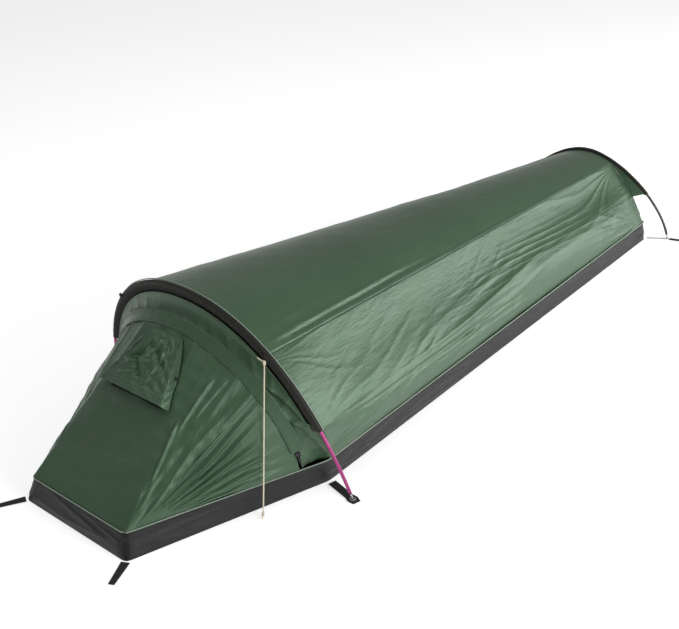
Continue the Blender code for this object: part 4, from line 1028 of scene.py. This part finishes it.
# A sleeve: a closed section of side and lift pairs carried along a path, with a bore of the same count of points.
def sweptPiece(name, path, section, up, material, bore, wrinkle, **rest):
    lift, side = sidesOf(path, up)
    rows, sides = len(path), len(section)
    flat = np.stack([np.tile(reachOf(section), rows), np.repeat(reachOf(path), sides)], 1)
    loops = [path[:, None] + side[:, None] * (ring[None, :, 0] * grow)[..., None]
             + lift[:, None] * (ring[None, :, 1] * grow)[..., None]
             for ring, grow in ((section, 1 + wrinkle(rows, sides)), (bore, np.ones((rows, sides))))]
    points = np.concatenate([loop.reshape(-1, 3) for loop in loops])
    return meshPiece(name, points, boredFaces(rows, sides), material, np.tile(flat, (2, 1)), **rest)


# A sleeve's outline: a circle whose inner side is drawn out into a thin flat tongue.
def sleeveSection(radius, tongue):
    angle = np.linspace(0, 2 * math.pi, 28, endpoint=False)
    circle = np.stack([radius * np.cos(angle), radius * np.sin(angle)], 1)
    outline = np.array(circle)
    outline[11:17] = [(-0.86 * radius, 0.0042), (-1.05 * radius, 0.0024), (-tongue, 0.0011), (-tongue, -0.0003),
                      (-1.05 * radius, -0.0018), (-0.92 * radius, -0.0036)]
    return outline, circle * 0.82


sleeveSet = {"tongue": 0.030, "rearTongue": 0.009, "pucker": 0.10}


# Puckers of the tube between its stitches, and a slow unevenness.
def puckers(seed):
    def wrinkle(rows, sides):
        t = np.linspace(0, 1, rows)[:, None]
        angle = np.linspace(0, 2 * math.pi, sides)[None]
        small = (crest(t * rows * 0.9 + drift(t * 9, angle * 0.4, seed, 1.0) * 2.5, 1.2) - 0.4) * 0.5
        round = np.clip(1.2 - np.abs(angle - math.pi) ** -1.0 * 0.5, 0, 1)
        return sleeveSet["pucker"] * (small + drift(t * 6, angle * 0.3, seed + 1, 1.0) * 0.4) * round
    return wrinkle


for name, curve, ahead, end, tongue, nodeName, body, rows in (
        ("frontSleeve", frontHoop, frontAhead, frontEnd, sleeveSet["tongue"], "front_sleeve", "front_hoop", 260),
        ("rearSleeve", rearHoop, rearAhead, rearEnd, sleeveSet["rearTongue"], "rear_sleeve", "rear_hoop", 160)):
    outline, bore = sleeveSection(size["sleeveRadius"], tongue)
    line = share(curve, end, 1 - end, rows)
    sweptPiece(name, line, outline, -ahead, mats["sleeve"], bore, puckers(101 + rows), body=body, slot="sleeve_black",
               replaced=[nodeName])
    inward = (sleeveMiddle if name == "frontSleeve" else np.array([0.0, rearHoopSet["depth"], 0.05])) - line
    inward = unit(inward - ahead * (inward @ ahead)[:, None])
    for number, at in enumerate((0.012, 0.026) if tongue > 0.02 else (0.0078,)):
        stitches(name + "Stitches%d" % number, line + inward * at + ahead * (0.0022 if at > 0.02 else 0.0030),
                 np.broadcast_to(ahead, line.shape), body, "sleeve_black", "darkThread", False)
pipeLine = share(frontHoop, frontEnd, 1 - frontEnd, 240)
outward = pipeLine - sleeveMiddle
outward = unit(outward - frontAhead * (outward @ frontAhead)[:, None])
pipeLine = (pipeLine + outward * (size["sleeveRadius"] * 0.80 + 0.0016)
            - frontAhead * (size["sleeveRadius"] * 0.72 + 0.0012))
tubePiece("sleevePiping", pipeLine, 0.0013, mats["piping"], 10, up=tuple(-frontAhead), body="front_hoop",
          slot="piping_grey", replaced=["sleeve_piping"])
print("sleeves made")

# the tub: floor, wall with soft dents, rolled top edge and the inside again, as rings of one outline
tubSet = {"wall": 0.0016, "trim": 0.012, "rows": 22, "spread": 480}


# The tub's outline at a height, its six corners rounded, moved out by a distance; and the ways out of it.
def coffin(outBy, height, count):
    low = [(size["frontHalf"], 0.0), (size["shoulderHalf"], size["shoulderDepth"]), (size["footHalf"], size["length"])]
    high = [(size["frontHalf"] - size["sideLean"], size["frontLean"]), (size["shoulderHalf"], size["shoulderDepth"]),
            (size["footHalf"] - 0.005, size["length"] - 0.004)]
    part = height / size["tubHeight"]
    half = np.array(low) * (1 - part) + np.array(high) * part
    corners = np.concatenate([half, (half * (-1, 1))[::-1]])
    rounded = []
    for k, corner in enumerate(corners):
        back, ahead = corners[k - 1] - corner, corners[(k + 1) % 6] - corner
        start = corner + back / np.linalg.norm(back) * tubSet["trim"]
        end = corner + ahead / np.linalg.norm(ahead) * tubSet["trim"]
        turn = np.linspace(0, 1, 7)[:, None]
        rounded.append((1 - turn) ** 2 * start + 2 * turn * (1 - turn) * corner + turn ** 2 * end)
    line = np.concatenate(rounded + [rounded[0][:1]])
    line = np.concatenate([line, np.full((len(line), 1), height)], 1)
    ring = resampled(line, np.linspace(0, 1, count + 1))[:-1]
    along = unit(np.roll(ring, -1, 0) - np.roll(ring, 1, 0))
    outward = np.cross(along, (0.0, 0.0, 1.0))
    return ring + outward * outBy, outward


# The wall's outline at a height, with soft dents that fade at its top and foot.
def wallRing(outBy, height):
    ring, outward = coffin(outBy, height, tubSet["spread"])
    around = np.linspace(0, 1, tubSet["spread"], endpoint=False)
    part = height / size["tubHeight"]
    dents = drift(around * 9, around * 0 + part * 0.4, 111, 1.0)
    pleats = crest(around * 150 + part * 2.2 + drift(around * 6, part + 0 * around, 112, 1.0) * 4, 1.5)
    bulge = np.sin(np.pi * part) * (0.0016 + 0.0024 * dents + (pleats - 0.35) * 0.0026)
    return ring + outward * bulge[:, None]


spread = tubSet["spread"]
tubRings = [wallRing(outBy, height) for outBy, first, last in ((0.0, 0, size["tubHeight"]),
                                                               (-tubSet["wall"], size["tubHeight"], tubSet["wall"]))
            for height in np.linspace(first, last, tubSet["rows"])]
heart = np.array([0.0, 1.1, 0.0])
floorSteps = np.linspace(1, 0.02, 40)[1:]
insideFloor = [(tubRings[-1] - heart) * (s, s, 1) + heart for s in floorSteps]
for part, ring in zip(floorSteps, insideFloor):
    ring[:, 2] = tubSet["wall"] + 0.0008 * np.clip(drift(ring[:, 0], ring[:, 1], 113, 0.3), 0, 1) * np.sin(np.pi * part)
underFloor = [(tubRings[0] - heart) * (s, s, 0) + heart for s in floorSteps][::-1]
rings = np.array(underFloor + tubRings + insideFloor)
tubPoints = np.concatenate([rings.reshape(-1, 3), [heart, heart + (0.0, 0.0, tubSet["wall"])]])
tubFlat = np.stack([np.tile(reachOf(tubRings[0]), len(rings)), np.repeat(reachOf(rings[:, 0]), spread)], 1)
tub = rodPiece("tubFloor", tubPoints, len(rings), spread, 0.0, mats["black"], tubFlat, body="bag", slot="tub_black",
               replaced=["tub_floor"])
pipeSet = {"radius": 0.0016, "out": 0.0006, "lift": 0.0002, "count": 360, "sides": 10}
topRing, topOut = coffin(pipeSet["out"] + pipeSet["radius"], size["tubHeight"], pipeSet["count"])
angle = np.linspace(0, 2 * math.pi, pipeSet["sides"], endpoint=False)[None, :, None]
pipe = topRing[:, None] + (topOut[:, None] * np.cos(angle) + np.array([0, 0, 1.0]) * np.sin(angle)) * pipeSet["radius"]
pipe[..., 2] += pipeSet["lift"]
meshPiece("tubPiping", pipe.reshape(-1, 3), ringFaces(pipeSet["count"], pipeSet["sides"]), mats["piping"], body="bag",
          slot="piping_grey", replaced=["tub_piping"])
for number, height in enumerate((0.0585, 0.0545)):
    ring, outward = coffin(0.0006, height, 720)
    stitches("tubStitches%d" % number, ring, outward, "bag", "tub_black", "darkThread", False)
print("tub made")

bandSet = {"thick": 0.0016, "low": 0.0004}


# A flat woven band from one point of the ground to another, with a round eye near its end; the threads are
# pushed aside round the eye.
def bandPiece(name, start, end, wide, endWide, node, eye, hole=0.004):
    thick, low = bandSet["thick"], bandSet["low"]
    reach = np.linalg.norm(end - start)
    way = (end - start) / reach
    cross = np.array([-way[1], way[0]])
    t = np.linspace(0, 1, 40)[:, None]
    s = np.linspace(-1, 1, 13)[None]
    along = t * reach + 0 * s
    across = s * (wide + (endWide - wide) * t) / 2
    dx, dy = along - (reach - eye), across
    gap = np.hypot(dx, dy)
    push = np.clip(1 - gap / (hole * 2.2), 0, 1) / np.maximum(gap, 1e-5) * hole * 1.05
    along, across = along + dx * push, across + dy * push
    corner = np.hypot(along - (reach - eye), across)
    cells = np.stack([corner[:-1, :-1], corner[1:, :-1], corner[:-1, 1:], corner[1:, 1:]])
    holeMask = cells.min(0) < hole * 0.98
    ground = start + way * along[..., None] + cross * across[..., None]
    rim = np.abs(s) ** 8 * 0.0002
    wave = drift(along * 6, across * 6, len(name), 0.3) * 0.00012
    grid = np.concatenate([ground, (low + thick - rim + wave)[..., None]], -1)
    clothPiece(name, grid, thick - 0.0002, (0.0, 0.0, -5.0), mats["tape"], hole=holeMask, body="bag",
               slot="webbing_black", replaced=[node])


# Short rows of stitches across a band, at distances from where it starts.
def bandStitches(name, start, way, half, places):
    cross = np.array([-way[1], way[0]])
    for number, at in enumerate(places):
        ends = [np.array([*(start + way * at + cross * w), 0.0023]) for w in (-half, half)]
        stitches("%sStitches%d" % (name, number), np.linspace(*ends, 12), np.tile([0, 0, 1.0], (12, 1)), "bag",
                 "webbing_black", "darkThread", False)


ringSet = {"middle": 0.0065, "half": 0.0013, "low": 0.0004, "soft": 0.6, "turns": 48, "sides": 16}


# A metal ring lying on the ground: a flattened round section turned about its middle.
def ringPiece(name, place, thick, node):
    s = ringSet
    turn = np.linspace(0, 2 * math.pi, s["turns"] + 1)[:-1, None]
    section = np.linspace(0, 2 * math.pi, s["sides"] + 1)[:-1]
    wide, high = (np.sign(v) * np.abs(v) ** s["soft"] for v in (np.cos(section), np.sin(section)))
    wide = s["middle"] + s["half"] * wide
    high = s["low"] + thick / 2 + thick / 2 * high
    grid = np.stack([place[0] + np.cos(turn) * wide, place[1] + np.sin(turn) * wide, high + 0 * turn], -1)
    meshPiece(name, grid.reshape(-1, 3), ringFaces(s["turns"], s["sides"]), mats["alloy"], body="bag",
              slot="bare_alloy", replaced=[node])


tabSet = {"long": 0.0062, "deep": 0.0017, "half": 0.006, "thick": 0.0009}
for side, sideName, low in bothSides:
    corner, tip = np.array([0.1935 * side, -0.0012]), np.array([(0.1925 + 0.036) * side, -0.070])
    bandPiece("frontPegLoop" + sideName, corner, tip, 0.022, 0.015, "front_peg_loop_" + low, 0.010)
    bandStitches("frontLoop" + sideName, corner, unit(tip - corner), 0.0075, (0.006, 0.020, 0.0475))
    foot, root = np.array([frontHoopSet["span"] * side, frontHoopSet["depth"]]), np.array([0.3428 * side, 0.518])
    way = unit(foot - root)
    bandPiece("poleStrap" + sideName, root + way * 0.010, foot + way * 0.018, 0.022, 0.022, "pole_strap_" + low, 0.018,
              0.0080)
    bandStitches("poleStrap" + sideName, root, way, 0.009, (0.016, 0.030))
    rearFoot, rearRoot = np.array([rearHoopSet["span"] * side, rearHoopSet["depth"]]), np.array([0.2355 * side, 2.202])
    loopWay = np.array([1.0 * side, 0.30]) / math.hypot(1.0, 0.30)
    loopStart = rearFoot + loopWay * 0.0082
    bandPiece("rearPegLoop" + sideName, loopStart, loopStart + loopWay * 0.046, 0.014, 0.014, "rear_peg_loop_" + low,
              0.010)
    rearWay = unit(rearFoot - rearRoot)
    ends = np.array([[*(rearRoot + rearWay * 0.003), 0.0022], [*(rearFoot - rearWay * 0.0084), 0.0022]])
    tubePiece("rearStay" + sideName, np.linspace(ends[0], ends[1], 24), 0.0013, mats["tape"], 12, body="bag",
              slot="webbing_black", replaced=["rear_stay_" + low])
    ringPiece("strapGrommet" + sideName, foot, 0.0022, "strap_grommet_" + low)
    ringPiece("rearRing" + sideName, rearFoot, 0.0024, "rear_ring_" + low)
    tabPoint = resampled(frontHoop, [1 - size["frontSeam"]])[0] * (side, 1, 1)
    tabOut = unit(tabPoint * (1, 0, 1))
    tabAlong = np.cross(tabOut, frontAhead)
    turn = np.linspace(0, 2 * math.pi, 60)[:, None]
    loopLine = (tabPoint + frontAhead * (size["sleeveRadius"] + 0.0035) + tabOut * 0.004
                + tabOut * tabSet["long"] * np.cos(turn) + frontAhead * tabSet["deep"] * np.sin(turn))
    loopGrid = loopLine[:, None] + tabAlong * np.linspace(-tabSet["half"], tabSet["half"], 8)[None, :, None]
    clothPiece("guyTab" + sideName, loopGrid[:-1], tabSet["thick"], tabPoint + frontAhead * 0.0098, mats["tape"],
               body="front_hoop", slot="webbing_black", replaced=["guy_tab_" + low])
print("straps made")


# The hoop with its feet lifted to where the tips stand.
def liftedHoop(curve):
    raised = np.array(curve)
    raised[:, 2] = 0.0012 + raised[:, 2] * (curve[:, 2].max() - 0.0012) / curve[:, 2].max()
    return raised


poleSet = {"bore": 0.0034, "tip": 0.016, "gap": 0.0004, "tipRadius": 0.0026}
tipTaper = np.array([0.75, 0.9, 0.92, *[1.0] * 18, 0.92, 0.92, 0.92])
sectionTaper = np.array([0.93, *[1.0] * 58, 0.93])
for prefix, node, curve, ahead, sections, finish, slot, body in (
        ("frontPole", "front_pole", frontHoop, frontAhead, 4, "magenta", "purple_tube", "front_hoop"),
        ("rearPole", "rear_pole", rearHoop, rearAhead, 3, "grey", "grey_tube", "rear_hoop")):
    line = liftedHoop(curve)
    total = np.linalg.norm(np.diff(line, axis=0), axis=1).sum()
    tipShare, gapShare = poleSet["tip"] / total, poleSet["gap"] / total
    edges = np.linspace(tipShare, 1 - tipShare, sections + 1)
    for k in range(sections):
        path = share(line, edges[k] + gapShare / 2, edges[k + 1] - gapShare / 2, 60)
        tubePiece("%sSection%d" % (prefix, k + 1), path, size["poleRadius"], mats[finish], 24, up=tuple(-ahead),
                  bore=poleSet["bore"], taper=sectionTaper, body=body, slot=slot,
                  replaced=["%s_section_%d" % (node, k + 1)])
    for sideName, ends in (("Left", (0.0, tipShare - gapShare / 2)), ("Right", (1 - tipShare + gapShare / 2, 1.0))):
        path = share(line, *ends, 24)
        tubePiece("%sTip%s" % (prefix, sideName), path, poleSet["tipRadius"], mats["alloy"], 20, up=tuple(-ahead),
                  taper=tipTaper if sideName == "Left" else tipTaper[::-1], body=body, slot="bare_alloy",
                  replaced=["%s_tip_%s" % (node, sideName.lower())])
print("poles made")

# zip slider and pull, each a rounded body with its own small features
sliderAngle = math.radians(archSet["low"] + 1.6)
point, across, out = archFrame(sliderAngle)
along = np.cross(across, out)
downWay = -along if along[2] > 0 else along


# A block whose outline is a rounded rectangle and whose edges are softened: a squashed ball with flat faces.
def pebble(name, middle, axes, sizes, material, power, dent, **rest):
    a, b = np.meshgrid(np.linspace(-math.pi / 2, math.pi / 2, 25), np.linspace(0, 2 * math.pi, 41)[:-1], indexing="ij")
    way = np.stack([np.cos(a) * np.cos(b), np.cos(a) * np.sin(b), np.sin(a)], -1)
    grown = way / (np.abs(way) ** power).sum(-1, keepdims=True) ** (1 / power)
    grown[..., 2] *= 1 - dent(grown[..., 0], grown[..., 1])
    place = middle + sum(grown[..., k:k + 1] * np.asarray(axes[k]) * sizes[k] / 2 for k in range(3))
    points = np.concatenate([place[1:-1].reshape(-1, 3), place[0].mean(0)[None], place[-1].mean(0)[None]])
    flat = np.stack([(points - middle) @ np.asarray(axes[1]), (points - middle) @ np.asarray(axes[0])], 1)
    return rodPiece(name, points, 23, 40, 0.0, material, flat, **rest)


sliderSet = {"raised": 0.0028, "slider": (0.010, 0.0075, 0.0026), "pull": (0.026, 0.0045, 0.0014), "hang": 0.0195}
sliderHeart = point + out * sliderSet["raised"]
pebble("zipSlider", sliderHeart, (along, across, out), sliderSet["slider"], mats["grey"], 4.0,
       lambda x, y: 0.35 * np.exp(-(y / 0.25) ** 2) * (np.abs(x) > 0.3), body="slider", slot="bare_alloy",
       replaced=["zip_slider"])
pebble("zipPull", sliderHeart + downWay * sliderSet["hang"], (along, across, out), sliderSet["pull"], mats["tape"], 6.0,
       lambda x, y: 0.4 * (np.abs(x) < 0.15), body="pull", slot="webbing_black", replaced=["zip_pull"])

for node in ("front_pole_ferrule_1", "front_pole_ferrule_2", "front_pole_ferrule_3", "rear_pole_ferrule_1",
             "rear_pole_ferrule_2", "front_pole_shock_cord", "rear_pole_shock_cord"):
    for slotted in bpy.data.objects[node].material_slots:
        slotted.material = mats["alloy" if "ferrule" in node else "elastic"]
print("small parts made")


# A wide pale floor just under the object, with a little light of its own so that it goes to white.
def addStage():
    mesh = bpy.data.meshes.new("ground")
    mesh.from_pydata([(-30, -30, 0), (30, -30, 0), (30, 30, 0), (-30, 30, 0)], [], [(0, 1, 2, 3)])
    mesh.materials.append(plainMaterial("paleGround", (0.86, 0.86, 0.86), (0.90, 0.90, 0.90), 0.5, 0.9, 0.0, 0.0, 20.0))
    shader = mesh.materials[0].node_tree.nodes["Principled BSDF"]
    shader.inputs["Emission Color"].default_value = (1.0, 1.0, 1.0, 1.0)
    shader.inputs["Emission Strength"].default_value = 0.48
    ground = bpy.data.objects.new("ground", mesh)
    scene.collection.objects.link(ground)
    ground.location.z = -0.0005


# A rectangular lamp at a place, turned towards a target.
def areaLight(name, place, target, wide, tall, power):
    data = bpy.data.lights.new(name, "AREA")
    data.shape = "RECTANGLE"
    data.size, data.size_y, data.energy = wide, tall, power
    lamp = bpy.data.objects.new(name, data)
    lamp.location = place
    lamp.rotation_euler = (Vector(target) - Vector(place)).to_track_quat("-Z", "Y").to_euler()
    scene.collection.objects.link(lamp)


addStage()
areaLight("sideSoftbox", (2.7, 2.3, 0.85), (0.2, 0.5, 0.25), 3.8, 1.5, 112.0)
areaLight("headSoftbox", (3.2, -0.75, 1.15), (0.2, -0.8, 0.2), 1.7, 1.3, 42.0)
areaLight("topSoftbox", (-0.8, -0.6, 3.6), (0.0, 0.0, 0.0), 3.2, 3.2, 34.0)
world = bpy.data.worlds.new("studio")
world.use_nodes = True
world.node_tree.nodes["Background"].inputs["Color"].default_value = (1.0, 1.0, 1.0, 1.0)
world.node_tree.nodes["Background"].inputs["Strength"].default_value = 0.36
scene.world = world
scene.view_settings.view_transform = "Standard"
